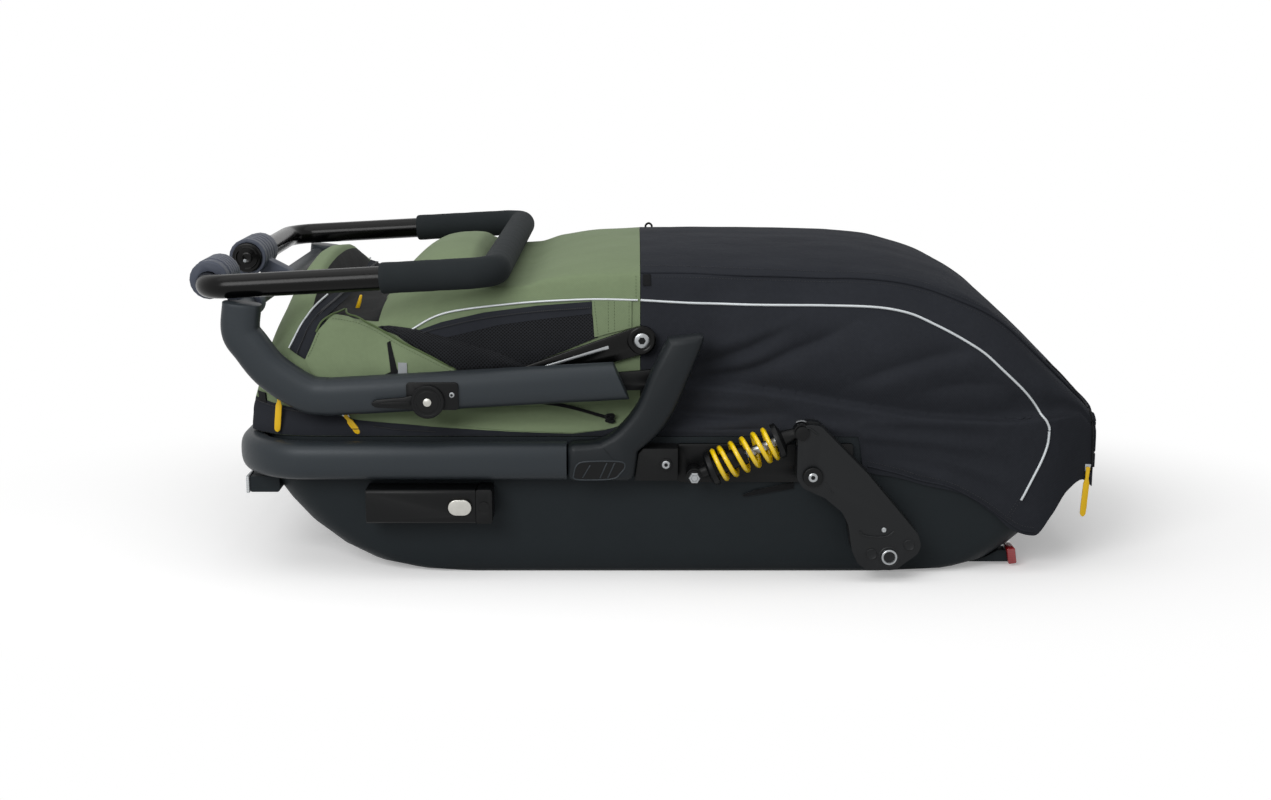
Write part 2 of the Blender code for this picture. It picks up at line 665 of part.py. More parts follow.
def post_outline():
    slope = math.radians(POST_TOP_TILT_DEG)
    along_top = Vector((math.cos(slope), math.sin(slope))) * HOOP_HEIGHT / 2
    top = Vector((POST_TOP_X, POST_TOP_Z))
    front_x = RAIL_REAR_X + GAP
    front = [Vector(p) for p in ((front_x + 0.012, RAIL_TOP), *POST_FRONT_EDGE)]
    front.append(top - along_top)
    rear = [Vector(p) for p in ((POST_HEEL_X, POST_HEEL_Z), *reversed(POST_REAR_EDGE))]
    rear.append(top + along_top)
    outline = [(front_x, RAIL_BOTTOM), (front_x, RAIL_TOP)]
    outline += [(p.x, p.y) for p in smooth_curve(front, 3)]
    outline += [(p.x, p.y) for p in reversed(smooth_curve(rear, 3))]
    outline.append((POST_TOE_X, RAIL_BOTTOM))
    return outline


def make_post(side):
    name = SIDE_NAMES[side]
    post = plate(f"corner_post_{name}", post_outline(), side * RAIL_IN, side * RAIL_OUT, "frame_paint")
    soften(post, POST_EDGE_RADIUS, segments=2, limit_deg=60.0)
    bore = round_bar(f"post_bore_{name}", FOLD_X, FOLD_Z, side * (RAIL_IN - 0.004),
                     side * (RAIL_IN + HINGE_PIN_DEPTH + 0.001), HINGE_PIN_RADIUS + TURNING_FIT,
                     "frame_paint")
    combine(post, bore, "DIFFERENCE")
    heel_gap = GAP + 0.0002
    foot = [(POST_TOE_X + heel_gap, RAIL_BOTTOM), (FOOT_REAR_X, RAIL_BOTTOM), (FOOT_REAR_X, FOOT_TOP_Z),
            (POST_HEEL_X + 0.006, FOOT_TOP_Z), (POST_HEEL_X + heel_gap, POST_HEEL_Z - 0.003)]
    bracket = plate(f"post_foot_{name}", foot, side * RAIL_IN, side * (RAIL_IN + FOOT_WIDTH),
                    "black_plastic")
    outer = RAIL_IN + FOOT_WIDTH
    screw = round_bar(f"foot_screw_{name}", FOOT_SCREW_X, FOOT_SCREW_Z, side * (outer - 0.004),
                      side * (outer + FOOT_SCREW_HEIGHT), FOOT_SCREW_RADIUS, "black_plastic")
    combine(bracket, screw, "UNION")
    pin_start = HINGE_ARM_IN - GAP - HINGE_HEAD_THICKNESS
    profile = ((0.0, HINGE_HEAD_RADIUS), (HINGE_HEAD_THICKNESS, HINGE_HEAD_RADIUS),
               (HINGE_HEAD_THICKNESS, HINGE_PIN_RADIUS),
               (RAIL_IN + HINGE_PIN_DEPTH - pin_start, HINGE_PIN_RADIUS))
    turned(f"hinge_pin_{name}", profile, (FOLD_X, side * pin_start, FOLD_Z), (0.0, side, 0.0), "steel")


# Folding hoop
def turned_back(x, z):
    """Where a point of the raised hoop lies when the hoop is folded."""
    angle = math.radians(FOLD_DEG)
    dx = x - FOLD_X
    dz = z - FOLD_Z
    return (FOLD_X + dx * math.cos(angle) - dz * math.sin(angle),
            FOLD_Z + dx * math.sin(angle) + dz * math.cos(angle))


def hoop_start():
    """The end face that sits on the post when the hoop is raised: its centre and its direction."""
    slope = math.radians(POST_TOP_TILT_DEG)
    up = (-math.sin(slope), math.cos(slope))
    centre = turned_back(POST_TOP_X + up[0] * GAP, POST_TOP_Z + up[1] * GAP)
    tip = turned_back(POST_TOP_X + up[0] * (GAP + 1.0), POST_TOP_Z + up[1] * (GAP + 1.0))
    return Vector((centre[0], 0.0, centre[1])), Vector((tip[0] - centre[0], 0.0, tip[1] - centre[1]))


def make_hoop():
    start, face = hoop_start()
    pivot = (FOLD_X, 0.0, FOLD_Z)
    bend = [Vector((x, 0.0, z)) for x, z in HOOP_BEND]
    bend.append(Vector((HOOP_TIP_X, 0.0, HOOP_TIP_Z)))
    for side in (LEFT, RIGHT):
        name = SIDE_NAMES[side]
        offset = Vector((0.0, side * RAIL_MID, 0.0))
        path = [start + offset] + [p + offset for p in smooth_curve(bend, 3)]
        sweep(f"hoop_rail_{name}", path, oval(RAIL_WIDTH, HOOP_HEIGHT), Vector((0.0, 1.0, 0.0)),
              "frame_paint", start_normal=face, origin=pivot)
        axis = Vector((FOLD_X, FOLD_Z))
        along = (Vector((bend[0].x, bend[0].z)) - Vector((start.x, start.z))).normalized()
        tip = axis + along * HINGE_ARM_LENGTH
        outline = capsule(axis, tip, HINGE_BOSS_RADIUS, HINGE_ARM_HALF_HEIGHT)
        bore = circle(FOLD_X, FOLD_Z, HINGE_PIN_RADIUS + TURNING_FIT)
        plate(f"hinge_arm_{name}", outline, side * HINGE_ARM_IN, side * HINGE_ARM_OUT, "black_plastic",
              holes=(bore,), origin=pivot)
    half = RAIL_IN - GAP
    round_bar("hoop_cross_tube", CROSS_X, CROSS_Z, -half, half, CROSS_TUBE_RADIUS, "frame_paint",
              origin=pivot)


def make_lock(side):
    name = SIDE_NAMES[side]
    inner = RAIL_OUT + GAP
    outer = inner + LOCK_PLATE_THICKNESS
    outline = rounded_rectangle(LOCK_X - LOCK_PLATE_FRONT, LOCK_X + LOCK_PLATE_REAR,
                                LOCK_Z - LOCK_PLATE_BOTTOM, LOCK_Z + LOCK_PLATE_TOP, LOCK_PLATE_CORNER)
    hole = circle(LOCK_X, LOCK_Z, LOCK_PIN_RADIUS + TURNING_FIT)
    plate(f"lock_plate_{name}", outline, side * inner, side * outer, "black_plastic", holes=(hole,))
    lever_in = outer + GAP
    lever = plate(f"lock_lever_{name}",
                  capsule((LOCK_X, LOCK_Z), (LOCK_X - LOCK_LEVER_LENGTH, LOCK_Z - 0.002),
                          LOCK_DISC_RADIUS, LOCK_TIP_RADIUS, count=14),
                  side * lever_in, side * (lever_in + LOCK_LEVER_THICKNESS), "black_plastic",
                  origin=(LOCK_X, 0.0, LOCK_Z))
    pin = round_bar(f"lock_pin_{name}", LOCK_X, LOCK_Z, side * (inner + GAP),
                    side * (inner + LOCK_PIN_LENGTH), LOCK_PIN_RADIUS, "steel", count=16)
    combine(lever, pin, "UNION")


# Stays
def make_stay(side):
    name = SIDE_NAMES[side]
    hub = (HUB_X, HUB_Z)
    rest = math.radians(180.0 + STAY_REST_DEG)
    tip = (HUB_X + STAY_LENGTH * math.cos(rest), HUB_Z + STAY_LENGTH * math.sin(rest))
    bore = circle(HUB_X, HUB_Z, HUB_BOLT_RADIUS + TURNING_FIT)
    plate(f"stay_{name}", capsule(hub, tip, HUB_RADIUS, STAY_TIP_RADIUS), side * STAY_IN, side * STAY_OUT,
          "gloss_black", holes=(bore,), origin=(HUB_X, 0.0, HUB_Z))
    shaft_in = bow_half_at(HUB_Z) + BOW_RADIUS + GAP
    profile = ((shaft_in, HUB_BOLT_RADIUS), (HUB_CAP_IN, HUB_BOLT_RADIUS), (HUB_CAP_IN, HUB_RADIUS),
               (HUB_CAP_OUT - 0.0012, HUB_RADIUS), (HUB_CAP_OUT, HUB_RADIUS - 0.0015))
    turned(f"stay_hub_{name}", profile, (HUB_X, 0.0, HUB_Z), (0.0, side, 0.0), "gloss_black")


# Push bar
def bar_frame():
    """The push bar's plane: a point below the joints' axis, its long direction and its normal."""
    slope = math.radians(BAR_SLOPE_DEG)
    along = Vector((math.cos(slope), 0.0, math.sin(slope)))
    normal = Vector((-math.sin(slope), 0.0, math.cos(slope)))
    return Vector((BAR_AXIS_X, 0.0, BAR_AXIS_Z - BAR_DROP)), along, normal


def make_push_bar():
    base, along, normal = bar_frame()
    pivot = (BAR_AXIS_X, 0.0, BAR_AXIS_Z)
    across = Vector((0.0, 1.0, 0.0))
    ends = {side: span[0] + math.copysign(COLLAR_GRIP, span[1] - span[0])
            for side, span in KNUCKLE_SPANS.items()}
    left_arm = -BAR_ARM_Y * across
    right_arm = BAR_ARM_Y * across
    corner = along * BAR_REACH
    knees = round_path([base + across * ends[LEFT], base + left_arm, base + left_arm + corner / 2],
                       BAR_BEND_RADIUS)[:-1]
    far_knees = round_path([base + right_arm + corner / 2, base + right_arm, base + across * ends[RIGHT]],
                           BAR_BEND_RADIUS)[1:]
    corners = round_path([knees[-1], base + left_arm + corner, base + right_arm + corner, far_knees[0]],
                         BAR_CORNER_RADIUS)
    path = knees + corners[1:-1] + far_knees
    ring = [(math.cos(a) * BAR_RADIUS, math.sin(a) * BAR_RADIUS)
            for a in (2 * math.pi * i / BAR_FACETS for i in range(BAR_FACETS))]
    sweep("push_bar", path, ring, normal, "gloss_black", origin=pivot)
    grip_path = [base + left_arm + along * GRIP_STARTS[LEFT]] + corners[1:-1]
    grip_path.append(base + right_arm + along * GRIP_STARTS[RIGHT])
    bore = [(a * (BAR_RADIUS + GAP) / BAR_RADIUS, b * (BAR_RADIUS + GAP) / BAR_RADIUS) for a, b in ring]
    sleeve = [(a * GRIP_RADIUS / BAR_RADIUS, b * GRIP_RADIUS / BAR_RADIUS) for a, b in ring]
    sweep("grip_foam", grip_path, sleeve, normal, "foam", bore=bore, origin=pivot)


def ribbed_profile(start, end):
    """The housing's outside: grooves between broad ribs."""
    points = [(start, KNUCKLE_RADIUS - 0.001), (start + 0.001, KNUCKLE_RADIUS)]
    pitch = (end - start) / (KNUCKLE_RIBS + 1)
    groove = pitch / 7
    for i in range(1, KNUCKLE_RIBS + 1):
        middle = start + pitch * i
        points += [(middle - groove, KNUCKLE_RADIUS), (middle, KNUCKLE_RADIUS - KNUCKLE_RIB_DEPTH),
                   (middle + groove, KNUCKLE_RADIUS)]
    points += [(end - 0.001, KNUCKLE_RADIUS), (end, KNUCKLE_RADIUS - 0.001)]
    return points


def make_knuckle(side):
    """A joint of the push bar: the collar turns, the housing is held on the hoop's cross tube."""
    name = SIDE_NAMES[side]
    outer, inner = KNUCKLE_SPANS[side]
    inward = math.copysign(1.0, inner - outer)
    length = abs(inner - outer)
    base = (BAR_AXIS_X, outer, BAR_AXIS_Z)
    direction = (0.0, inward, 0.0)
    collar_profile = ((0.0, COLLAR_RADIUS - 0.002), (0.002, COLLAR_RADIUS), (COLLAR_LENGTH, COLLAR_RADIUS),
                      (COLLAR_LENGTH, SPIGOT_RADIUS), (COLLAR_LENGTH + SPIGOT_LENGTH, SPIGOT_RADIUS))
    collar = turned(f"bar_collar_{name}", collar_profile, base, direction, "grey_plastic",
                    origin=(BAR_AXIS_X, 0.0, BAR_AXIS_Z))
    socket = round_bar(f"collar_socket_{name}", BAR_AXIS_X, BAR_AXIS_Z - BAR_DROP,
                       outer - inward * 0.003, outer + inward * (COLLAR_GRIP + GAP),
                       BAR_RADIUS + 2 * GAP, "grey_plastic")
    combine(collar, socket, "DIFFERENCE")
    start = COLLAR_LENGTH + GAP
    well = BUTTON_RADIUS + GAP
    profile = ribbed_profile(start, length)
    bore = SPIGOT_RADIUS + TURNING_FIT
    profile += [(length, well), (length - BUTTON_WELL, well), (length - BUTTON_WELL, bore), (start, bore)]
    housing = turned(f"bar_housing_{name}", profile, base, direction, "grey_plastic", closed=True,
                     origin=(FOLD_X, 0.0, FOLD_Z))
    middle = outer + inward * (start + length) / 2
    outline = capsule((BAR_AXIS_X + 0.0135, BAR_AXIS_Z - 0.0105), (CROSS_X, CROSS_Z), 0.0085,
                      BRACKET_RING_RADIUS, count=14)
    hole = circle(CROSS_X, CROSS_Z, CROSS_TUBE_RADIUS + GAP)
    bracket = plate(f"housing_bracket_{name}", outline, middle - BRACKET_WIDTH / 2,
                    middle + BRACKET_WIDTH / 2, "grey_plastic", holes=(hole,))
    keep_out = round_bar(f"bracket_bore_{name}", BAR_AXIS_X, BAR_AXIS_Z, middle - BRACKET_WIDTH,
                         middle + BRACKET_WIDTH, KNUCKLE_RADIUS - 0.0022, "grey_plastic")
    combine(bracket, keep_out, "DIFFERENCE")
    combine(housing, bracket, "UNION")
    button_start = length - BUTTON_INSIDE
    button_profile = ((button_start, BUTTON_RADIUS), (length + BUTTON_OUTSIDE - 0.001, BUTTON_RADIUS),
                      (length + BUTTON_OUTSIDE, BUTTON_RADIUS - 0.001))
    turned(f"bar_button_{name}", button_profile, base, direction, "gloss_black",
           origin=(BAR_AXIS_X, inner, BAR_AXIS_Z))


# Suspension
def shock_axis():
    front = Vector((SHOCK_FRONT_X, 0.0, SHOCK_FRONT_Z))
    rear = Vector((SHOCK_REAR_X, 0.0, SHOCK_REAR_Z))
    return front, (rear - front).normalized(), (rear - front).length


def make_suspension_bar(side):
    name = SIDE_NAMES[side]
    outline = rounded_rectangle(FOOT_REAR_X + GAP, SUSPENSION_BAR_REAR_X, SUSPENSION_BAR_BOTTOM_Z,
                                SUSPENSION_BAR_TOP_Z, 0.003)
    holes = (circle(ARM_PIVOT_X, ARM_PIVOT_Z, ARM_BOLT_RADIUS + TURNING_FIT),
             circle(SHOCK_FRONT_X, SHOCK_FRONT_Z, SHOCK_BOLT_RADIUS + TURNING_FIT))
    plate(f"suspension_bar_{name}", outline, side * RAIL_IN, side * PLATE_OUT, "black_plastic", holes=holes)
    head_in = ARM_OUT + GAP
    profile = ((RAIL_IN + GAP, ARM_BOLT_RADIUS), (head_in, ARM_BOLT_RADIUS), (head_in, ARM_HEAD_RADIUS),
               (head_in + ARM_HEAD_THICKNESS - 0.001, ARM_HEAD_RADIUS),
               (head_in + ARM_HEAD_THICKNESS, ARM_HEAD_RADIUS - 0.001))
    turned(f"swingarm_bolt_{name}", profile, (ARM_PIVOT_X, 0.0, ARM_PIVOT_Z), (0.0, side, 0.0), "steel")
    eye_in = SHOCK_MID - SHOCK_EYE_WIDTH / 2
    eye_out = SHOCK_MID + SHOCK_EYE_WIDTH / 2
    bolt = ((RAIL_IN + GAP, SHOCK_BOLT_RADIUS), (PLATE_OUT + GAP, SHOCK_BOLT_RADIUS),
            (PLATE_OUT + GAP, SHOCK_SPACER_RADIUS), (eye_in - GAP, SHOCK_SPACER_RADIUS),
            (eye_in - GAP, SHOCK_BOLT_RADIUS), (eye_out + GAP, SHOCK_BOLT_RADIUS),
            (eye_out + GAP, SHOCK_BOLT_HEAD_RADIUS), (eye_out + SHOCK_BOLT_HEAD, SHOCK_BOLT_HEAD_RADIUS))
    turned(f"shock_front_bolt_{name}", bolt, (SHOCK_FRONT_X, 0.0, SHOCK_FRONT_Z), (0.0, side, 0.0),
           "steel", count=16)


def make_swingarm(side):
    name = SIDE_NAMES[side]
    pivot = (ARM_PIVOT_X, 0.0, ARM_PIVOT_Z)
    outline = rounded_polygon(ARM_OUTLINE, 0.010, steps=2)
    arm = plate(f"swingarm_{name}", outline, side * ARM_IN, side * ARM_OUT, "black_plastic", origin=pivot)
    soften(arm, ARM_EDGE_RADIUS, segments=1, limit_deg=60.0)
    slot_in = SHOCK_MID - SHOCK_EYE_WIDTH / 2 - CLEVIS_ROOM
    slot_out = SHOCK_MID + SHOCK_EYE_WIDTH / 2 + CLEVIS_ROOM
    slot_outline = rounded_rectangle(CLEVIS_FRONT_X, CLEVIS_REAR_X, CLEVIS_BOTTOM_Z, CLEVIS_TOP_Z, GAP)
    slot = plate(f"clevis_slot_{name}", slot_outline, side * slot_in, side * slot_out, "black_plastic")
    combine(arm, slot, "DIFFERENCE")
    reach = 0.002
    for label, x, z, radius in (("pivot", ARM_PIVOT_X, ARM_PIVOT_Z, ARM_BOLT_RADIUS + TURNING_FIT),
                                ("axle", AXLE_X, AXLE_Z, AXLE_BUSH_RADIUS + TURNING_FIT),
                                ("shock", SHOCK_REAR_X, SHOCK_REAR_Z, SHOCK_BOLT_RADIUS + TURNING_FIT)):
        cutter = round_bar(f"arm_{label}_bore_{name}", x, z, side * (ARM_IN - reach),
                           side * (ARM_OUT + reach), radius, "black_plastic")
        combine(arm, cutter, "DIFFERENCE")
    proud = ARM_OUT + AXLE_BUSH_PROUD
    bush = ((ARM_IN, AXLE_BUSH_RADIUS), (proud, AXLE_BUSH_RADIUS), (proud, AXLE_BORE_RADIUS),
            (ARM_IN, AXLE_BORE_RADIUS))
    turned(f"axle_bush_{name}", bush, (AXLE_X, 0.0, AXLE_Z), (0.0, side, 0.0), "steel", closed=True,
           origin=pivot)
    head_in = ARM_OUT + GAP
    bolt = ((ARM_IN + GAP, SHOCK_BOLT_RADIUS), (head_in, SHOCK_BOLT_RADIUS),
            (head_in, SHOCK_BOLT_HEAD_RADIUS), (head_in + 0.003, SHOCK_BOLT_HEAD_RADIUS))
    turned(f"shock_rear_bolt_{name}", bolt, (SHOCK_REAR_X, 0.0, SHOCK_REAR_Z), (0.0, side, 0.0), "steel",
           count=16, origin=pivot)


def make_shock(side):
    """The damper's body with its front seat, the rod with its rear seat, and the coil spring between."""
    name = SIDE_NAMES[side]
    front, along, length = shock_axis()
    front = front + Vector((0.0, side * SHOCK_MID, 0.0))
    rear = front + along * length
    half_eye = SHOCK_EYE_WIDTH / 2
    seat_end = SHOCK_FRONT_SEAT + SHOCK_SEAT_THICKNESS
    neck = SHOCK_EYE_RADIUS - 0.003
    bore = SHOCK_ROD_RADIUS + TURNING_FIT
    rear_seat_end = SHOCK_REAR_SEAT + SHOCK_SEAT_THICKNESS
    body_profile = ((neck, 0.0065), (SHOCK_FRONT_SEAT - 0.003, 0.0075), (SHOCK_FRONT_SEAT - 0.003, 0.0150),
                    (SHOCK_FRONT_SEAT, SHOCK_SEAT_RADIUS), (seat_end, SHOCK_SEAT_RADIUS),
                    (seat_end, SHOCK_TUBE_RADIUS), (SHOCK_TUBE_END, SHOCK_TUBE_RADIUS),
                    (SHOCK_TUBE_END, bore), (SHOCK_BORE_START, bore))
    body = turned(f"shock_body_{name}", body_profile, front, along, "black_plastic", count=20)
    rod_profile = ((SHOCK_ROD_START, SHOCK_ROD_RADIUS), (SHOCK_REAR_SEAT, SHOCK_ROD_RADIUS),
                   (SHOCK_REAR_SEAT, SHOCK_SEAT_RADIUS), (rear_seat_end, SHOCK_SEAT_RADIUS),
                   (rear_seat_end + 0.004, 0.0095), (length - neck, 0.0065))
    rod = turned(f"shock_rod_{name}", rod_profile, front, along, "black_plastic", count=20, origin=rear)
    for obj, centre, label in ((body, front, "front"), (rod, rear, "rear")):
        for part, half, radius, operation in (("eye", half_eye, SHOCK_EYE_RADIUS, "UNION"),
                                              ("eye_bore", half_eye + 0.002, SHOCK_EYE_BORE, "DIFFERENCE")):
            tool = turned(f"{label}_{part}_{name}", ((-half, radius), (half, radius)), centre,
                          (0.0, 1.0, 0.0), "black_plastic", count=20)
            combine(obj, tool, operation)
    make_spring(name, front, along, seat_end, side)


def spring_points(front, along, start, end, side):
    """A helix with closer turns at both ends, in front of and behind the seats by the gap."""
    radius = SPRING_OUTER_RADIUS - SPRING_WIRE_RADIUS
    u = Vector((0.0, 1.0, 0.0))
    v = along.cross(u)
    count = SPRING_TURNS * POINTS_PER_TURN
    length = end - start
    open_pitch = (length - 2 * SPRING_END_PITCH) / (SPRING_TURNS - 2)
    points = []
    for i in range(count + 1):
        turns = SPRING_TURNS * i / count
        close_turns = min(turns, 1.0) + max(turns - (SPRING_TURNS - 1), 0.0)
        travelled = close_turns * SPRING_END_PITCH + (turns - close_turns) * open_pitch
        angle = 2 * math.pi * turns
        points.append(front + along * (start + travelled)
                      + (u * math.cos(angle) + v * math.sin(angle)) * radius * -side)
    return points


def least_gap(points, wire_radius):
    """The smallest distance between the surfaces of unlike turns."""
    least = math.inf
    for i, point in enumerate(points):
        for other in points[i + POINTS_PER_TURN // 2:]:
            least = min(least, (point - other).length - 2 * wire_radius)
    return least


def make_spring(name, front, along, seat_end, side):
    start = seat_end + GAP + SPRING_WIRE_RADIUS
    end = SHOCK_REAR_SEAT - GAP - SPRING_WIRE_RADIUS
    points = spring_points(front, along, start, end, side)
    round_tube(f"shock_spring_{name}", points, SPRING_WIRE_RADIUS, "spring_yellow", resolution=1)
    gap_mm = least_gap(points, SPRING_WIRE_RADIUS) * 1000
    print(f"shock_spring_{name}: least gap between turns {gap_mm:.2f} mm")


# Drawbar socket
def make_hitch():
    x0 = SOCKET_FRONT_X
    x1 = SOCKET_REAR_X
    bm = bmesh.new()
    rings = []
    for x, inset in ((x1, 0.0), (x0, 0.0), (x0, SOCKET_WALL), (x1, SOCKET_WALL)):
        outline = rounded_rectangle(-SOCKET_OUT + inset, -SOCKET_IN - inset, SOCKET_BOTTOM_Z + inset,
                                    SOCKET_TOP_Z - inset, 0.0045 - inset * 0.8, steps=3)
        rings.append(ring_of(bm, [Vector((x, y, z)) for y, z in outline]))
    skin(bm, rings)
    skin(bm, (rings[-1], rings[0]))
    socket = add_object("drawbar_socket", bm, "black_plastic")
    half = (HITCH_BUTTON_LENGTH - HITCH_BUTTON_HEIGHT) / 2
    left_end = (HITCH_BUTTON_X - half, HITCH_BUTTON_Z)
    right_end = (HITCH_BUTTON_X + half, HITCH_BUTTON_Z)
    radius = HITCH_BUTTON_HEIGHT / 2
    hole = plate("button_hole", capsule(left_end, right_end, radius + GAP, radius + GAP),
                 -SOCKET_OUT - 0.003, -SOCKET_OUT + SOCKET_WALL + 0.003, "black_plastic")
    combine(socket, hole, "DIFFERENCE")
    plate("drawbar_button", capsule(left_end, right_end, radius, radius), -SOCKET_OUT - HITCH_BUTTON_PROUD,
          -SOCKET_OUT + HITCH_BUTTON_INSIDE, "steel",
          origin=(HITCH_BUTTON_X, -SOCKET_OUT - HITCH_BUTTON_PROUD, HITCH_BUTTON_Z))
    end_piece = block("socket_end", (x1 + GAP, -SOCKET_OUT, SOCKET_BOTTOM_Z),
                      (SOCKET_END_X, -SOCKET_IN, SOCKET_TOP_Z), 0.003, "grey_plastic")
    drilled = round_bar("end_hole", SOCKET_END_HOLE_X, HITCH_BUTTON_Z, -SOCKET_OUT - 0.002,
                        -SOCKET_OUT + SOCKET_END_HOLE_DEPTH, SOCKET_END_HOLE_RADIUS, "grey_plastic", count=16)
    combine(end_piece, drilled, "DIFFERENCE")


# Reflectors and the lugs that hold them
def front_lug():
    y0, y1 = FRONT_REFLECTOR_Y
    z0, z1 = FRONT_REFLECTOR_Z
    front = FRONT_REFLECTOR_X + FRONT_REFLECTOR_THICKNESS + GAP
    return block("front_lug", (front, y0 + 0.003, z0 + 0.001), (FRONT_LUG_REAR_X, y1 - 0.003, z1 - 0.001),
                 0.003, "tub_plastic")


def reflector_lean():
    """The rear reflector's foot, and its directions upwards and outwards in the side view."""
    lean = math.radians(REAR_REFLECTOR_LEAN_DEG)
    foot = Vector((REAR_REFLECTOR_X, REAR_REFLECTOR_Z))
    return foot, Vector((-math.sin(lean), math.cos(lean))), Vector((math.cos(lean), math.sin(lean)))


def tub_rear_at(z):
    """How far the tub's outside reaches to the rear at one height."""
    levels = tub_levels()
    for lower, upper in zip(levels, levels[1:]):
        if lower[0] <= z <= upper[0]:
            return lower[2] + (upper[2] - lower[2]) * (z - lower[0]) / (upper[0] - lower[0])
    return levels[-1][2]


def rear_lug():
    y0, y1 = REAR_REFLECTOR_Y
    foot, up, out = reflector_lean()
    back = foot - out * GAP
    low = back + up * 0.002
    high = back + up * 0.016
    outline = [(tub_rear_at(z) - LUG_BITE, z) for z in (high.y, REAR_LUG_KNEE_Z, REAR_LUG_BOTTOM_Z)]
    outline += [(low.x - 0.002, REAR_LUG_BOTTOM_Z), tuple(low), tuple(high)]
    return plate("rear_lug", outline, y0 + 0.006, y1 - 0.006, "tub_plastic")


def make_reflectors():
    y0, y1 = FRONT_REFLECTOR_Y
    z0, z1 = FRONT_REFLECTOR_Z
    rear_face = FRONT_REFLECTOR_X + FRONT_REFLECTOR_THICKNESS
    block("front_reflector", (FRONT_REFLECTOR_X, y0, z0), (rear_face, y1, z1), 0.001, "reflector_white")
    foot, up, out = reflector_lean()
    up = up * REAR_REFLECTOR_HEIGHT
    out = out * REAR_REFLECTOR_WIDTH
    corners = [tuple(c) for c in (foot, foot + out, foot + out + up, foot + up)]
    plate("rear_reflector", rounded_polygon(corners, 0.002), *REAR_REFLECTOR_Y, "reflector_red")


# Covers
def half_section(station):
    """One side of a cover's section, from the hem up to the crown: (half width, height) points."""
    _, hem, waist, edge, hem_z, edge_z, crown_z = station
    rise = crown_z - edge_z
    knee_z = min(COVER_KNEE_Z, edge_z - COVER_LEAST_WALL)
    belt_z = knee_z + min(COVER_BELT, 0.4 * (edge_z - knee_z))
    return [Vector(p) for p in (
        (hem, hem_z),
        (hem, knee_z),
        (waist, belt_z),
        (waist, belt_z + 0.45 * (edge_z - belt_z)),
        (edge + 0.55 * (waist - edge), edge_z - 0.22 * (edge_z - belt_z)),
        (edge, edge_z - 0.004),
        (edge - 0.010, edge_z + 0.15 * rise),
        (0.80 * edge, edge_z + 0.48 * rise),
        (0.50 * edge, edge_z + 0.84 * rise),
        (0.20 * edge, edge_z + 0.98 * rise),
    )]


def inset_section(points, wall):
    """The same half section, moved inwards by the wall."""
    inner = []
    for i, point in enumerate(points):
        arriving = (point - points[i - 1]).normalized() if i else (points[1] - point).normalized()
        leaving = (points[i + 1] - point).normalized() if i < len(points) - 1 else arriving
        direction = (arriving + leaving).normalized()
        mitre = wall / direction.dot(arriving)
        inner.append(point + Vector((-direction.y, direction.x)) * mitre)
    inner[0].y = points[0].y
    return inner


def mirrored(points, x):
    """Both halves of a section as places in space, from the left hem over the crown to the right hem."""
    left = [Vector((x, -p.x, p.y)) for p in points]
    right = [Vector((x, p.x, p.y)) for p in reversed(points)]
    return left + right


def make_cover(name, stations, material):
    """A fabric shell, open below and at its seam, closed at its far end."""
    bm = bmesh.new()
    inward = math.copysign(FABRIC, stations[0][0] - stations[-1][0])
    outer = []
    inner = []
    for station in stations:
        x = station[0]
        section = half_section(station)
        outer.append(ring_of(bm, mirrored(section, x)))
        inside_x = x + inward if station is stations[-1] else x
        inner.append(ring_of(bm, mirrored(inset_section(section, FABRIC), inside_x)))
    skin(bm, outer, closed=False)
    skin(bm, inner, closed=False)
    bm.faces.new(outer[-1])
    bm.faces.new(inner[-1])
    skin(bm, (outer[0], inner[0]), closed=False)
    for edge in (0, -1):
        skin(bm, ([ring[edge] for ring in outer], [ring[edge] for ring in inner]), closed=False)
    bm.faces.new((outer[-1][0], outer[-1][-1], inner[-1][-1], inner[-1][0]))
    cover = add_object(name, bm, material)
    for side in (LEFT, RIGHT):
        hole = round_bar(f"{name}_hub_hole_{SIDE_NAMES[side]}", HUB_X, HUB_Z, side * (STAY_IN - 0.020),
                         side * STAY_OUT, HUB_HOLE_RADIUS, material, count=16)
        combine(cover, hole, "DIFFERENCE")


def station_at(stations, x):
    for before, after in zip(stations, stations[1:]):
        if min(before[0], after[0]) <= x <= max(before[0], after[0]):
            t = (x - before[0]) / (after[0] - before[0])
            return tuple(a + (b - a) * t for a, b in zip(before, after))
    return stations[0] if abs(x - stations[0][0]) < abs(x - stations[-1][0]) else stations[-1]


def half_at(section, z):
    """The half width of a section at one height."""
    for lower, upper in zip(section, section[1:]):
        if lower.y <= z <= upper.y:
            return lower.x + (upper.x - lower.x) * (z - lower.y) / (upper.y - lower.y)
    return section[0].x


def cover_half_at(stations, x, z):
    """Half the width of a cover at one place along it and one height on its side."""
    return half_at(half_section(station_at(stations, x)), z)


def bow_path():
    """The bow's middle line inside the covers at their seam, with its feet on the tub's inner wall."""
    section = half_section(station_at(REAR_STATIONS, SEAM_X))
    inside = inset_section(section, FABRIC + BOW_CLEARANCE + BOW_RADIUS)
    foot = TUB_HALF_WIDTH - TUB_WALL - BOW_CLEARANCE - BOW_RADIUS
    half = [Vector((foot, BOW_FOOT_Z)), Vector((foot, BOW_KNEE_Z)), *inside[2:]]
    half[-1].y -= BOW_CROWN_DROP
    return smooth_curve(mirrored(half, HUB_X), 2)


def bow_half_at(z):
    """Half the bow's width at one height, at its middle line."""
    return half_at([Vector((-p.y, p.z)) for p in bow_path() if p.y < 0.0], z)


def make_bow():
    round_tube("cover_bow", bow_path(), BOW_RADIUS, "gloss_black", resolution=2)


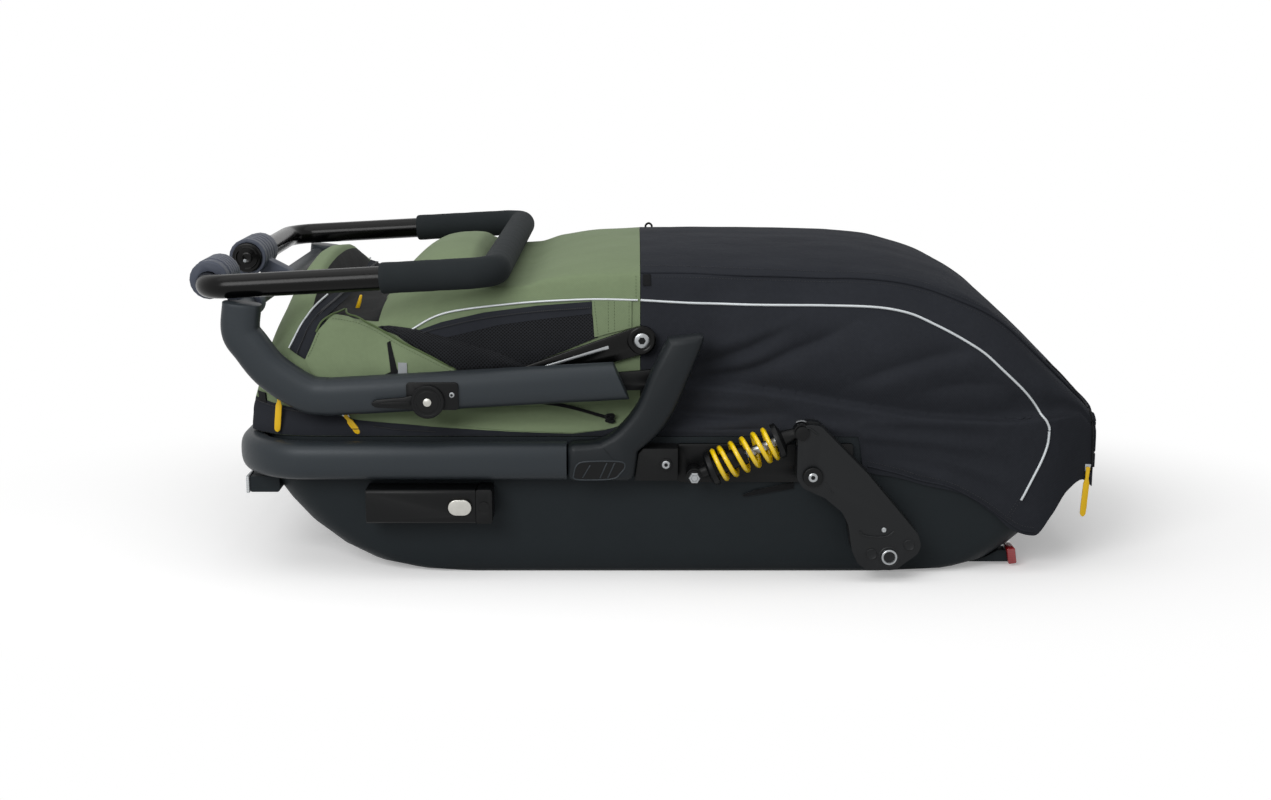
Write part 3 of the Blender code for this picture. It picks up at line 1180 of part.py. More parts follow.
# Small trim
def make_pull(name, ends, stations, side):
    """A flat zip pull, hung at its upper end just outside the cover."""
    top, bottom = ends
    middle_line = [Vector(top).lerp(Vector(bottom), i / 8) for i in range(9)]
    behind = [(p.x + dx, p.y) for p in middle_line for dx in (-PULL_HALF_WIDTH, PULL_HALF_WIDTH)]
    y = GAP + max(cover_half_at(stations, x, z) for x, z in behind if z > station_at(stations, x)[4])
    outline = capsule(top, bottom, PULL_HALF_WIDTH, PULL_HALF_WIDTH * 0.999, count=6)
    plate(name, outline, side * y, side * (y + PULL_THICKNESS), "pull_yellow",
          origin=(top[0], side * y, top[1]))


def make_cord():
    clear = CORD_RADIUS + CORD_CLEARANCE
    route = [Vector((x, -cover_half_at(FRONT_STATIONS, x, z) - clear, z)) for x, z in CORD_POINTS]
    round_tube("elastic_cord", smooth_curve(route, 4), CORD_RADIUS, "black_fabric", resolution=1)


def build_trailer():
    for obj in list(bpy.data.objects):
        bpy.data.objects.remove(obj)
    make_materials()
    make_tub()
    make_base_frame()
    make_hoop()
    for side in (LEFT, RIGHT):
        make_post(side)
        make_lock(side)
        make_stay(side)
        make_knuckle(side)
        make_suspension_bar(side)
        make_swingarm(side)
        make_shock(side)
    make_push_bar()
    make_hitch()
    make_reflectors()
    make_cover("front_cover", FRONT_STATIONS, "green_fabric")
    make_cover("rear_cover", REAR_STATIONS, "black_fabric")
    make_bow()
    make_pull("zip_pull_front", FRONT_PULL, FRONT_STATIONS, LEFT)
    make_pull("zip_pull_side", SIDE_PULL, FRONT_STATIONS, LEFT)
    make_pull("zip_pull_rear", REAR_PULL, REAR_STATIONS, LEFT)
    make_cord()


build_trailer()
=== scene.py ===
# %% [markdown]
# # A dog bike trailer, folded flat
# The trailer lies on its tub with the wheels off, the hoop folded down over the front cover and the push bar
# turned back over the hoop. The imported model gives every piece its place. This file gives the pieces their
# finer shape, their fabric and their finish.

# %% Load the frame
import json
import math
from contextlib import contextmanager

import bmesh
import bpy
import numpy as np
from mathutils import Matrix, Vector
from mathutils.geometry import delaunay_2d_cdt


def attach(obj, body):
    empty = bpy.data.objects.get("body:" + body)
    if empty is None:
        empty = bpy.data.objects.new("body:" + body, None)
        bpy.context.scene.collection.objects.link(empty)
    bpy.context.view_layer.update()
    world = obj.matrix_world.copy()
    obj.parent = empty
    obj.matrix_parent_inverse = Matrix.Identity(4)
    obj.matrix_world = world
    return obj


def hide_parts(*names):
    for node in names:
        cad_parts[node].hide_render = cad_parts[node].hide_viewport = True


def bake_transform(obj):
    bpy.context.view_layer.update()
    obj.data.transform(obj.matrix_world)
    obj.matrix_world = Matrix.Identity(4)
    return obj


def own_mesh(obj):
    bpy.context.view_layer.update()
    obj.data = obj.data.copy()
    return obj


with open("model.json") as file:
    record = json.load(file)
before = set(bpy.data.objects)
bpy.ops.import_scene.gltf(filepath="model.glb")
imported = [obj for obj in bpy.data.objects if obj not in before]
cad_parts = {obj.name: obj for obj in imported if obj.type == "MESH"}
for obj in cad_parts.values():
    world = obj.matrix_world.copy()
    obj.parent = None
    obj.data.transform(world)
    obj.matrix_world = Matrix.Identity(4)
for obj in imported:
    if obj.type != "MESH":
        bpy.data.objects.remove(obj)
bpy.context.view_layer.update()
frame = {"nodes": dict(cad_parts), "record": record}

# %% [markdown]
# ## The camera
# A studio picture like this one is taken with a normal lens from a little above the trailer and square to its
# side. A 50 mm lens two and a quarter metres away gives the same difference in size between the near and the
# far arm of the push bar.

# %% Camera
def linked(name, data):
    """A new object with this data, in the scene."""
    obj = bpy.data.objects.new(name, data)
    bpy.context.scene.collection.objects.link(obj)
    return obj


LOOK_DOWN_DEG = 11.8
camera = linked("studio_camera", bpy.data.cameras.new("studio_camera"))
camera.data.lens = 49.99
camera.data.sensor_width = 36.0
camera.location = (-0.0145, -2.26, 0.626)
camera.rotation_euler = (math.radians(90.0 - LOOK_DOWN_DEG), 0.0, 0.0)
bpy.context.scene.camera = camera
bpy.context.scene.view_settings.view_transform = "Standard"
print("camera", camera.data.lens, "mm, at", tuple(round(v, 3) for v in camera.location))

# %% [markdown]
# ## Colours and nodes
# Colours are written as sRGB hex values, as a paint chart gives them, and the shader wants linear light. One
# small function adds any node with its settings and its links, so that a material reads as a list of steps.

# %% Colour and node helpers
LEFT, RIGHT = -1, 1
SIDES = ((LEFT, "left"), (RIGHT, "right"))


def linear(colour, gain=1.0):
    """An sRGB hex colour as linear light, times a gain."""
    channels = [int(colour[i:i + 2], 16) / 255.0 for i in (1, 3, 5)]
    light = [c / 12.92 if c <= 0.04045 else ((c + 0.055) / 1.055) ** 2.4 for c in channels]
    return (*[min(1.0, c * gain) for c in light], 1.0)


def feed(tree, made, *values, **named):
    """Sets a node's inputs, in order or by name. A socket is linked, and a node by its first output in use."""
    live = [socket for socket in made.inputs if socket.enabled]
    by_name = [(next(s for s in live if s.name == key.replace("_", " ")), value) for key, value in named.items()]
    for socket, value in (*zip(live, values), *by_name):
        if isinstance(value, bpy.types.Node):
            value = next(output for output in value.outputs if output.enabled)
        if isinstance(value, bpy.types.NodeSocket):
            tree.links.new(value, socket)
        else:
            socket.default_value = value


def node(tree, kind, *values, **named):
    """Adds a node. Names in lower case are its settings, the others are its inputs."""
    made = tree.nodes.new(kind if "Node" in kind else "ShaderNode" + kind)
    for key in [key for key in named if key.islower()]:
        setattr(made, key, named.pop(key))
    feed(tree, made, *values, **named)
    return made


def new_finish(name, **constants):
    """A material whose Principled shader has these constants, and its tree, shader and object coordinates."""
    material = bpy.data.materials.new(name)
    material.use_nodes = True
    tree = material.node_tree
    shader = tree.nodes["Principled BSDF"]
    feed(tree, shader, **constants)
    return material, tree, shader, node(tree, "TexCoord").outputs["Object"]


def per_metre(size_mm):
    """A pattern's scale on object coordinates, from its real size."""
    return 1000.0 / size_mm


def mottled(tree, spot, colour, patch_mm, spread):
    """A colour that drifts a little lighter and darker in patches, as real surfaces do."""
    cloud = node(tree, "TexNoise", Vector=spot, Scale=per_metre(patch_mm), Detail=4.0, Roughness=0.6)
    return node(tree, "Mix", cloud, linear(colour, 1.0 - spread), linear(colour, 1.0 + spread), data_type="RGBA")


print("sRGB mid grey is", round(linear("#808080")[0], 3), "in linear light")

# %% [markdown]
# ## Hard finishes
# Moulded plastic has the fine leather grain of its mould, paint on aluminium has an orange peel too fine to
# see but for its soft highlight, and turned steel keeps faint tool marks. All three are a colour that drifts,
# and grains that break the gloss and the height, so one function makes them and a short list of sizes in
# millimetres says which process it was.

# %% Moulded, painted and metal finishes
GRAIN_LOW, GRAIN_HIGH = 0.3, 0.7
FLAKE_MM = 1.3
MOULDED = dict(gloss_drift=(0.05, 0.06), patch_mm=45.0, spread=0.10, grain_mm=1.1, height_mm=0.05, strength=0.6)
PAINTED = dict(gloss_drift=(0.04, 0.05), patch_mm=60.0, spread=0.06, grain_mm=2.4, height_mm=0.035, strength=0.5,
               flake=0.15)
MACHINED = dict(gloss_drift=(0.08, 0.08), patch_mm=12.0, spread=0.12, grain_mm=0.7, height_mm=0.02, strength=0.5,
                Metallic=1.0)


def surface(name, colour, roughness, process, **changes):
    """A hard finish from its process. Changes with a capital are the shader's own constants."""
    made = {**process, **changes}
    sizes = {key: made.pop(key) for key in list(made) if key.islower()}
    material, tree, shader, spot = new_finish(name, **made)
    grains = node(tree, "TexNoise", Vector=spot, Scale=per_metre(sizes["grain_mm"]), Detail=3.0, Roughness=0.55)
    tint = mottled(tree, spot, colour, sizes["patch_mm"], sizes["spread"])
    if "flake" in sizes:
        flakes = node(tree, "TexNoise", Vector=spot, Scale=per_metre(FLAKE_MM), Detail=1.0)
        tint = node(tree, "Mix", flakes, tint, linear(colour, 1.0 + sizes["flake"]), data_type="RGBA")
    smoother, rougher = sizes["gloss_drift"]
    feed(tree, shader, Base_Color=tint,
         Roughness=node(tree, "MapRange", grains, GRAIN_LOW, GRAIN_HIGH, roughness - smoother, roughness + rougher),
         Normal=node(tree, "Bump", Strength=sizes["strength"], Distance=sizes["height_mm"] / 1000.0, Height=grains))
    return material


# Polypropylene looks waxy and almost without highlight.
TUB_PLASTIC = surface("moulded_polypropylene_tub", "#22272A", 0.52, MOULDED, grain_mm=1.6, height_mm=0.04,
                      Specular_IOR_Level=0.12)
# Powder coat has a satin highlight along each tube. On the castings it looks darker.
FRAME_PAINT = surface("satin_powder_coat_grey", "#2D3236", 0.44, PAINTED, Metallic=0.15, Specular_IOR_Level=0.24)
POST_PAINT = surface("satin_powder_coat_casting", "#171B1E", 0.46, PAINTED, Metallic=0.1, Specular_IOR_Level=0.2)
# Nylon is close to black, with a soft shine. Its glass filled kind is duller, and rubber has almost no shine.
BLACK_PLASTIC = surface("moulded_nylon_black", "#08090A", 0.42, MOULDED, Specular_IOR_Level=0.18)
GREY_PLASTIC = surface("moulded_nylon_grey", "#434854", 0.52, MOULDED, Specular_IOR_Level=0.3)
SWINGARM_PLASTIC = surface("glass_filled_nylon", "#101214", 0.46, MOULDED, grain_mm=0.9, height_mm=0.04,
                           Specular_IOR_Level=0.25)
# Dark rubber for the feet. The same material is the painted shade at the bottom of the screw recesses and in the
# socket hole.
DARK_RUBBER_AND_HOLE_SHADE = surface("moulded_rubber_dark_and_hole_shade", "#070809", 0.60, MOULDED, Specular_IOR_Level=0.2)
PULL_PLASTIC = surface("moulded_silicone_yellow", "#EDBE0A", 0.45, MOULDED, spread=0.05)
# The bar's paint is smooth and glossy, with clear highlights. The spring's enamel has a clear coat on top.
GLOSS_BLACK = surface("gloss_powder_coat_black", "#020202", 0.22, PAINTED, flake=0.02, strength=0.06,
                      Specular_IOR_Level=0.18)
SPRING_PAINT = surface("gloss_enamel_yellow", "#F5CF05", 0.26, PAINTED, flake=0.04, Coat_Weight=0.4,
                       Coat_Roughness=0.1)
# Foam is matt, and its cells give it a coarse grain.
FOAM = surface("closed_cell_foam", "#25292B", 0.90, MOULDED, grain_mm=1.3, height_mm=0.22, spread=0.14,
               Specular_IOR_Level=0.15)
MAT_FOAM = surface("ribbed_mat_foam", "#33363A", 0.92, MOULDED, grain_mm=2.0, height_mm=0.2)
# Zinc plate is bright and slightly blurred, and brushed aluminium is paler and softer.
STEEL = surface("zinc_plated_steel", "#9EA1A3", 0.30, MACHINED)
BUTTON_METAL = surface("brushed_aluminium", "#B9B8B2", 0.36, MACHINED, grain_mm=1.1)
# Glass beads in the piping's skin throw light back, so it looks like a pale, half metallic line.
PIPING = surface("reflective_piping_silver", "#C9CED1", 0.45, MACHINED, Metallic=0.35)
# Sewing thread is matt, a little darker than its cloth on green and a little paler on black.
THREAD_GREEN = surface("sewing_thread_green", "#4C5B3C", 0.7, MOULDED, spread=0.15)
THREAD_BLACK = surface("sewing_thread_black", "#24262A", 0.7, MOULDED, spread=0.15)


def reflector(name, colour):
    """Moulded acrylic over a grid of small corner prisms. Their sparkle is painted in as lighter and darker cells.
    """
    material, tree, shader, spot = new_finish(name, Roughness=0.12, Coat_Weight=0.8, Coat_Roughness=0.05)
    prisms = node(tree, "TexVoronoi", Vector=spot, Scale=per_metre(2.6), Randomness=0.0)
    # the lighter and darker prism cells are painted sparkle
    feed(tree, shader,
         Base_Color=node(tree, "Mix", prisms, linear(colour, 1.25), linear(colour, 0.45), data_type="RGBA"),
         Normal=node(tree, "Bump", Strength=0.7, Distance=0.0006, Height=prisms))
    return material


CLEAR_REFLECTOR = reflector("prismatic_acrylic_clear", "#D2D6D8")
RED_REFLECTOR = reflector("prismatic_acrylic_red", "#B01A22")
print(len(bpy.data.materials), "materials so far")

# %% [markdown]
# ## Fabric finishes
# The covers are woven polyester with a water repellent coat. A plain weave goes over and under in both
# directions, so the product of two waves gives its checks. The real threads are half a millimetre apart, too
# fine to show in the picture, so they are drawn coarser and faint, and slow mottling gives the cloth its life.

# %% Woven fabric and mesh
SLUB_MM, CREASE_MM = 5.0, 32.0
HALF_TURN = math.pi * 1000.0


def cloth_waves(tree, spot, spacing_mm, diagonal=False):
    """Two waves on the cloth, one down its length and one round its section, or both on the bias."""
    parts = node(tree, "SeparateXYZ", spot).outputs
    along, across = parts["X"], node(tree, "Math", parts["Y"], parts["Z"], operation="ADD")
    if diagonal:
        along, across = [node(tree, "Math", along, across, operation=kind) for kind in ("ADD", "SUBTRACT")]
    turns = [node(tree, "Math", way, HALF_TURN / spacing_mm, operation="MULTIPLY") for way in (along, across)]
    return [node(tree, "Math", turn, operation="SINE") for turn in turns]


def woven(name, colour, spacing_mm=1.5, roughness=0.82, sheen=0.25, spread=0.10, crumple_mm=0.0, shine=0.14):
    """A plain weave with uneven threads, a drifting colour and, if it is crumpled, soft creases."""
    material, tree, shader, spot = new_finish(name, Sheen_Weight=sheen, Sheen_Roughness=0.5,
                                              Specular_IOR_Level=shine)
    check = node(tree, "Math", *cloth_waves(tree, spot, spacing_mm), operation="MULTIPLY")
    slub = node(tree, "TexNoise", Vector=spot, Scale=per_metre(SLUB_MM), Detail=5.0, Roughness=0.7)
    weave = node(tree, "Math", check, 0.25, slub, operation="MULTIPLY_ADD")
    shade = node(tree, "MapRange", Value=weave, To_Min=1.0 - spread, To_Max=1.0 + spread)
    normal = node(tree, "Bump", Strength=0.35, Distance=0.0003, Height=weave)
    if crumple_mm:
        creases = node(tree, "TexNoise", Vector=spot, Scale=per_metre(CREASE_MM), Detail=2.0, Distortion=0.8)
        normal = node(tree, "Bump", Strength=0.6, Distance=crumple_mm / 1000.0, Height=creases, Normal=normal)
    feed(tree, shader, Normal=normal,
         Base_Color=node(tree, "VectorMath", mottled(tree, spot, colour, 70.0, spread), shade, operation="SCALE"),
         Roughness=node(tree, "MapRange", slub, GRAIN_LOW, GRAIN_HIGH, roughness - 0.06, roughness + 0.06))
    return material


def net(name, thread, hole, spacing_mm):
    """Knitted mesh: threads cross on the bias and leave diamond holes, drawn near black as painted shade of the
    inside.
    """
    material, tree, shader, spot = new_finish(name, Roughness=0.75, Sheen_Weight=0.05, Specular_IOR_Level=0.15)
    sizes = [node(tree, "Math", wave, operation="ABSOLUTE")
             for wave in cloth_waves(tree, spot, spacing_mm, diagonal=True)]
    opened = node(tree, "MapRange", node(tree, "Math", *sizes, operation="MINIMUM"), 0.35, 0.6)
    # the hole colour is painted shade of the inside seen through the net
    feed(tree, shader,
         Base_Color=node(tree, "Mix", opened, linear(thread), linear(hole), data_type="RGBA"),
         Normal=node(tree, "Bump", Strength=0.8, Distance=0.0005, Height=opened, invert=True))
    return material


# Coated oxford cloth is matt and soft, with creases that catch the light. Its binding tape is darker.
GREEN_CLOTH = woven("polyester_oxford_green", "#7A896A", sheen=0.05, crumple_mm=1.2, shine=0.08)
GREEN_TAPE = woven("binding_tape_green", "#586845", spacing_mm=2.0, sheen=0.05)
BLACK_CLOTH = woven("polyester_oxford_black", "#2E3035", roughness=0.72, sheen=0.0, spread=0.16, crumple_mm=1.4,
                    shine=0.02)
# The near black cloth in the valley behind the nose and the webbing swallow more light. Webbing shows its ribs,
# and braid shows its crossing strands.
VALLEY_BLACK_CLOTH = woven("black_valley_cloth", "#0B0C0D", roughness=0.9, sheen=0.05, crumple_mm=1.5)
BLACK_WEBBING = woven("ribbed_webbing_black", "#0D0E10", spacing_mm=2.4, roughness=0.75, sheen=0.08, spread=0.22)
CORD_BLACK = woven("braided_cord_black", "#0B0C0E", spacing_mm=1.8, sheen=0.1, spread=0.25)
GREY_TAG = woven("woven_tag_grey", "#9A9EA1", spacing_mm=1.6)
# The real net has holes of about 1 mm. They are drawn coarser, so that they show, and near black as painted
# shade of the dark inside behind them.
BLACK_NET = net("knitted_net_black", "#24262A", "#020203", 4.2)
print(len(bpy.data.materials), "materials")

# %% [markdown]
# ## Shape helpers
# Most hard pieces are one of three things: a section carried along a path, a profile turned round an axis, or
# a flat outline with a thickness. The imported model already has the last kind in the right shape, so those
# pieces are taken from it, their doubled points joined, and their edges rounded as a mould or a press leaves
# them.

# %% Placing a finished piece
FINISH_OF_SLOT = {
    "tub_plastic": TUB_PLASTIC, "frame_paint": FRAME_PAINT, "black_plastic": BLACK_PLASTIC,
    "gloss_black": GLOSS_BLACK, "foam": FOAM, "mat_foam": MAT_FOAM, "steel": STEEL,
    "grey_plastic": GREY_PLASTIC, "green_fabric": GREEN_CLOTH, "black_fabric": BLACK_CLOTH,
    "spring_yellow": SPRING_PAINT, "pull_yellow": PULL_PLASTIC, "reflector_white": CLEAR_REFLECTOR,
    "reflector_red": RED_REFLECTOR,
}


def place(obj, body, slot, *nodes):
    """Lets a finished piece ride on its body and stand for the solids it shows better. Its slot is not used."""
    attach(obj, body)
    if nodes:
        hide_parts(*nodes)
    return obj


def shaded(mesh, sharp_deg):
    """Smooth shading, with the edges kept sharp that turn more than this."""
    mesh.shade_smooth()
    mesh.set_sharp_from_angle(angle=math.radians(sharp_deg))
    return mesh


def mesh_object(name, points, faces, material, sharp_deg=35.0):
    """A new object from points and faces, with one material."""
    mesh = bpy.data.meshes.new(name)
    mesh.from_pydata([tuple(p) for p in points], [], [tuple(f) for f in faces])
    mesh.materials.append(material)
    return linked(name, shaded(mesh, sharp_deg))


def settled(obj, sharp_deg=35.0):
    """Makes the modifiers' result the object's own mesh."""
    mesh = bpy.data.meshes.new_from_object(obj.evaluated_get(bpy.context.evaluated_depsgraph_get()))
    obj.modifiers.clear()
    obj.data = shaded(mesh, sharp_deg)
    return obj


def rounded(obj, radius_mm, segments=2, limit_deg=35.0, sharp_deg=35.0):
    """Rounds every edge that turns more than the limit."""
    bevel = obj.modifiers.new("rounded_edges", "BEVEL")
    bevel.width = radius_mm / 1000.0
    bevel.segments = segments
    bevel.limit_method = "ANGLE"
    bevel.angle_limit = math.radians(limit_deg)
    bevel.harden_normals = False
    return settled(obj, sharp_deg)


print(len(FINISH_OF_SLOT), "slots have a finish")


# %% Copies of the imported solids, with their edges rounded
FLAT_DEG, SAME_POINT = 0.6, 1e-6


def finished_copy(node_name, radius_mm, segments=2, limit_deg=35.0, material=None, sharp_deg=35.0):
    """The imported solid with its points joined, its edges rounded and its real finish."""
    solid = frame["nodes"][node_name].data
    shape = bmesh.new()
    shape.from_mesh(solid)
    bmesh.ops.remove_doubles(shape, verts=shape.verts, dist=SAME_POINT)
    bmesh.ops.dissolve_limit(shape, angle_limit=math.radians(FLAT_DEG), verts=shape.verts, edges=shape.edges)
    points = [v.co.copy() for v in shape.verts]
    faces = [[v.index for v in f.verts] for f in shape.faces]
    shape.free()
    slot = solid.materials[0].name.split(".")[0]
    obj = mesh_object(f"{node_name}_finished", points, faces, material or FINISH_OF_SLOT[slot], sharp_deg)
    if radius_mm:
        rounded(obj, radius_mm, segments, limit_deg, sharp_deg)
    bodies = frame["record"]["behaviour"]["bodies"]
    return place(obj, next(body for body, members in bodies.items() if node_name in members), slot, node_name)


print(len(frame["nodes"]), "packed solids to finish or replace")


# %% Smooth and bent lines
def smooth_line(points, steps):
    """A Catmull-Rom curve through the points, of any dimension."""
    points = np.asarray(points, float)
    padded = np.vstack([2 * points[0] - points[1], points, 2 * points[-1] - points[-2]])
    curve = []
    for p0, p1, p2, p3 in zip(padded, padded[1:], padded[2:], padded[3:]):
        for k in range(steps):
            t = k / steps
            curve.append(0.5 * (2 * p1 + (p2 - p0) * t + (2 * p0 - 5 * p1 + 4 * p2 - p3) * t ** 2
                                + (3 * p1 - p0 - 3 * p2 + p3) * t ** 3))
    curve.append(points[-1])
    return np.array(curve)


def bent_path(points, radius, steps=12):
    """Straight runs whose corners are arcs of one radius."""
    points = [Vector(p) for p in points]
    path = [points[0]]
    for before, here, after in zip(points, points[1:], points[2:]):
        back, on = (before - here).normalized(), (after - here).normalized()
        angle = back.angle(on)
        start = here + back * (radius / math.tan(angle / 2))
        end = here + on * (radius / math.tan(angle / 2))
        centre = here + (back + on).normalized() * (radius / math.sin(angle / 2))
        one, other = start - centre, end - centre
        sweep_angle = one.angle(other)
        for k in range(steps + 1):
            t = k / steps
            path.append(centre + (one * math.sin((1 - t) * sweep_angle) + other * math.sin(t * sweep_angle))
                        / math.sin(sweep_angle))
    path.append(points[-1])
    return np.array([tuple(p) for p in path])


def frames_along(path, up=None):
    """A tangent and two directions square to it at each point, turned as little as possible on the way."""
    path = np.asarray(path, float)
    tangents = np.gradient(path, axis=0)
    tangents /= np.linalg.norm(tangents, axis=1)[:, None]
    normal = np.array(up if up is not None else (0.0, 0.0, 1.0), float)
    if up is None and abs(tangents[0] @ normal) > 0.9:
        normal = np.array((0.0, 1.0, 0.0))
    rows = []
    for tangent in tangents:
        normal = normal - tangent * (normal @ tangent)
        normal /= np.linalg.norm(normal)
        rows.append((tangent, normal.copy(), np.cross(normal, tangent)))
        if up is not None:
            normal = np.array(up, float)
    return rows


print("a quarter bend has", len(bent_path(((0, 0, 0), (1, 0, 0), (1, 1, 0)), 0.5)), "points")


# %% Sections carried along a path
ALONG_Y, UPWARDS = (0.0, 1.0, 0.0), (0.0, 0.0, 1.0)


@contextmanager
def edited(mesh):
    """Opens a mesh for editing and writes it back."""
    shape = bmesh.new()
    shape.from_mesh(mesh)
    yield shape
    shape.to_mesh(mesh)
    shape.free()


def outward(obj):
    """Turns the faces of a closed shape so that they point outwards."""
    with edited(obj.data) as shape:
        bmesh.ops.recalc_face_normals(shape, faces=shape.faces)
    return obj


def ring_faces(rings, count):
    """Quads between rings of points, and a face over each end."""
    quads = []
    for i in range(rings - 1):
        a, b = i * count, (i + 1) * count
        for j in range(count):
            k = (j + 1) % count
            quads.append((a + j, b + j, b + k, a + k))
    return [*quads, tuple(range(count)), tuple(reversed(range((rings - 1) * count, rings * count)))]


def swept(name, path, section, material, up=None, start_normal=None, sharp_deg=40.0):
    """A closed section of (up, across) pairs, carried along a path. A start normal cuts it at a slant."""
    path = np.asarray(path, float)
    points = []
    for i, (centre, (tangent, normal, across)) in enumerate(zip(path, frames_along(path, up))):
        for a, b in section:
            point = centre + normal * a + across * b
            if i == 0 and start_normal is not None:
                point = point - tangent * ((point - centre) @ start_normal) / (tangent @ start_normal)
            points.append(point)
    return outward(mesh_object(name, points, ring_faces(len(path), len(section)), material, sharp_deg))


def round_section(radius, count=24):
    """Points round a circle."""
    return [(radius * math.cos(2 * math.pi * i / count), radius * math.sin(2 * math.pi * i / count))
            for i in range(count)]


def oval_section(height, width, count=44, squareness=2.7):
    """A flattened oval, between an ellipse and a rectangle."""
    section = []
    for i in range(count):
        a = 2 * math.pi * (i + 0.5) / count
        c, s = math.cos(a), math.sin(a)
        section.append((height / 2 * math.copysign(abs(c) ** (2 / squareness), c),
                        width / 2 * math.copysign(abs(s) ** (2 / squareness), s)))
    return section


print("an oval has", len(oval_section(1, 1)), "points and a circle", len(round_section(1)))


# %% Profiles turned round an axis, and flat plates
def turned(name, profile, base, direction, material, count=48, sharp_deg=35.0):
    """A profile of (distance along, radius) in metres, turned round an axis, with closed ends."""
    direction = Vector(direction).normalized()
    helper = Vector((0.0, 0.0, 1.0)) if abs(direction.z) < 0.9 else Vector((1.0, 0.0, 0.0))
    u = direction.cross(helper).normalized()
    v = direction.cross(u)
    points = []
    for along, radius in profile:
        centre = Vector(base) + direction * along
        points += [centre + (u * math.cos(a) + v * math.sin(a)) * radius
                   for a in (2 * math.pi * i / count for i in range(count))]
    return outward(mesh_object(name, points, ring_faces(len(profile), count), material, sharp_deg))


def hollow(name, profile, base, direction, material, count=48, sharp_deg=35.0):
    """A closed profile of (distance along, radius) turned round an axis, open in the middle."""
    obj = turned(name, (*profile, profile[0]), base, direction, material, count, sharp_deg)
    with edited(obj.data) as shape:
        ends = [f for f in shape.faces if len(f.verts) == count]
        bmesh.ops.delete(shape, geom=ends, context="FACES_ONLY")
        bmesh.ops.remove_doubles(shape, verts=shape.verts, dist=SAME_POINT)
        bmesh.ops.recalc_face_normals(shape, faces=shape.faces)
    return obj


def plate(name, outline, y_from, y_to, material, radius_mm=0.0, sharp_deg=35.0):
    """A flat outline of (x, z) points pushed from one depth to another."""
    points = [(x, y, z) for y in (y_from, y_to) for x, z in outline]
    obj = outward(mesh_object(name, points, ring_faces(2, len(outline)), material, sharp_deg))
    return rounded(obj, radius_mm, 2, 40.0, sharp_deg) if radius_mm else obj


def depths_of(node_name):
    """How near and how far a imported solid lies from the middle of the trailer."""
    solid = frame["nodes"][node_name]
    depths = [abs((solid.matrix_world @ v.co).y) for v in solid.data.vertices]
    return min(depths), max(depths)


def merged(name, objects):
    """Several shapes of one body made one piece."""
    with bpy.context.temp_override(active_object=objects[0], object=objects[0],
                                   selected_editable_objects=objects, selected_objects=objects):
        bpy.ops.object.join()
    objects[0].name = name
    return objects[0]


print("the grip's solid lies from y", [round(v, 3) for v in depths_of("grip_foam")], "m on either side")

# %% [markdown]
# ## The elastic cord
# A short elastic cord holds the loose cover down. It comes out from behind the hoop tube, lies tight along the
# cover and ends in a knot at the post. The photograph shows its last 7 cm or so. How far it runs on behind the
# tube is a guess.

# %% Elastic cord and its knot
CORD_RADIUS, CORD_ROOM = 0.002, 0.001
KNOT_RADIUS, KNOT_SIZE, KNOT_STEPS = 0.0018, 0.0042, 40
# half widths of the cover at its hem and its waist, where it begins to draw in, and over what height
HEM, WAIST, KNEE_Z, BELT = 0.2612, 0.2435, 0.1756, 0.020
cord_points = []
for x, z in ((-0.2300, 0.1953), (-0.1900, 0.2000), (-0.1497, 0.2036), (-0.1000, 0.1990), (-0.0442, 0.1857)):
    cover_half = HEM - (HEM - WAIST) * min(max((z - KNEE_Z) / BELT, 0.0), 1.0)
    cord_points.append((x, -(cover_half + CORD_RADIUS + CORD_ROOM), z))
cord_route = smooth_line(cord_points, 6)
cord = swept("elastic_cord_braid", cord_route, round_section(CORD_RADIUS, 12), CORD_BLACK, up=ALONG_Y)
knot_line = []
for k in range(KNOT_STEPS):
    turn = 2 * math.pi * k / (KNOT_STEPS - 1)
    knot_line.append(cord_route[-1] + np.array((KNOT_SIZE * math.sin(2 * turn),
                                                0.0016 * math.sin(3 * turn) - CORD_ROOM,
                                                KNOT_SIZE * math.cos(turn))))
knot = swept("elastic_cord_knot", knot_line, round_section(KNOT_RADIUS, 10), CORD_BLACK)
place(cord, "base", "black_fabric", "elastic_cord")
place(knot, "base", "black_fabric")

# %% [markdown]
# ## The same shape on every point
# Stitches, zip teeth and screws are one small shape wanted in many places. A Geometry Nodes tree puts the shape
# on each point of a line or a cloud of points, which is quick to change and always even. Its sizes are named
# inputs, and its result is kept as a plain mesh.

# %% Running a Geometry Nodes tree
def tree_with(name, numbers):
    """An empty tree with its geometry sockets, number inputs and a material input."""
    tree = bpy.data.node_groups.new(name, "GeometryNodeTree")
    tree.interface.new_socket("Geometry", in_out="INPUT", socket_type="NodeSocketGeometry")
    tree.interface.new_socket("Geometry", in_out="OUTPUT", socket_type="NodeSocketGeometry")
    for label, value in numbers.items():
        socket = tree.interface.new_socket(label, in_out="INPUT", socket_type="NodeSocketFloat")
        socket.default_value = value
    tree.interface.new_socket("Material", in_out="INPUT", socket_type="NodeSocketMaterial")
    return tree, tree.nodes.new("NodeGroupInput").outputs, tree.nodes.new("NodeGroupOutput")


def run_tree(obj, tree, material, **numbers):
    """Runs a tree on an object with these inputs and keeps its result as a plain mesh."""
    modifier = obj.modifiers.new(tree.name, "NODES")
    modifier.node_group = tree
    for item in tree.interface.items_tree:
        if item.in_out == "INPUT" and item.name in numbers:
            modifier[item.identifier] = numbers[item.name]
        if item.name == "Material":
            modifier[item.identifier] = material
    return settled(obj)


def line_object(name, path):
    """A mesh with only points, and edges from each to the next."""
    mesh = bpy.data.meshes.new(name)
    mesh.from_pydata([tuple(p) for p in path], [(i, i + 1) for i in range(len(path) - 1)], [])
    return linked(name, mesh)


print("tree helpers are ready")


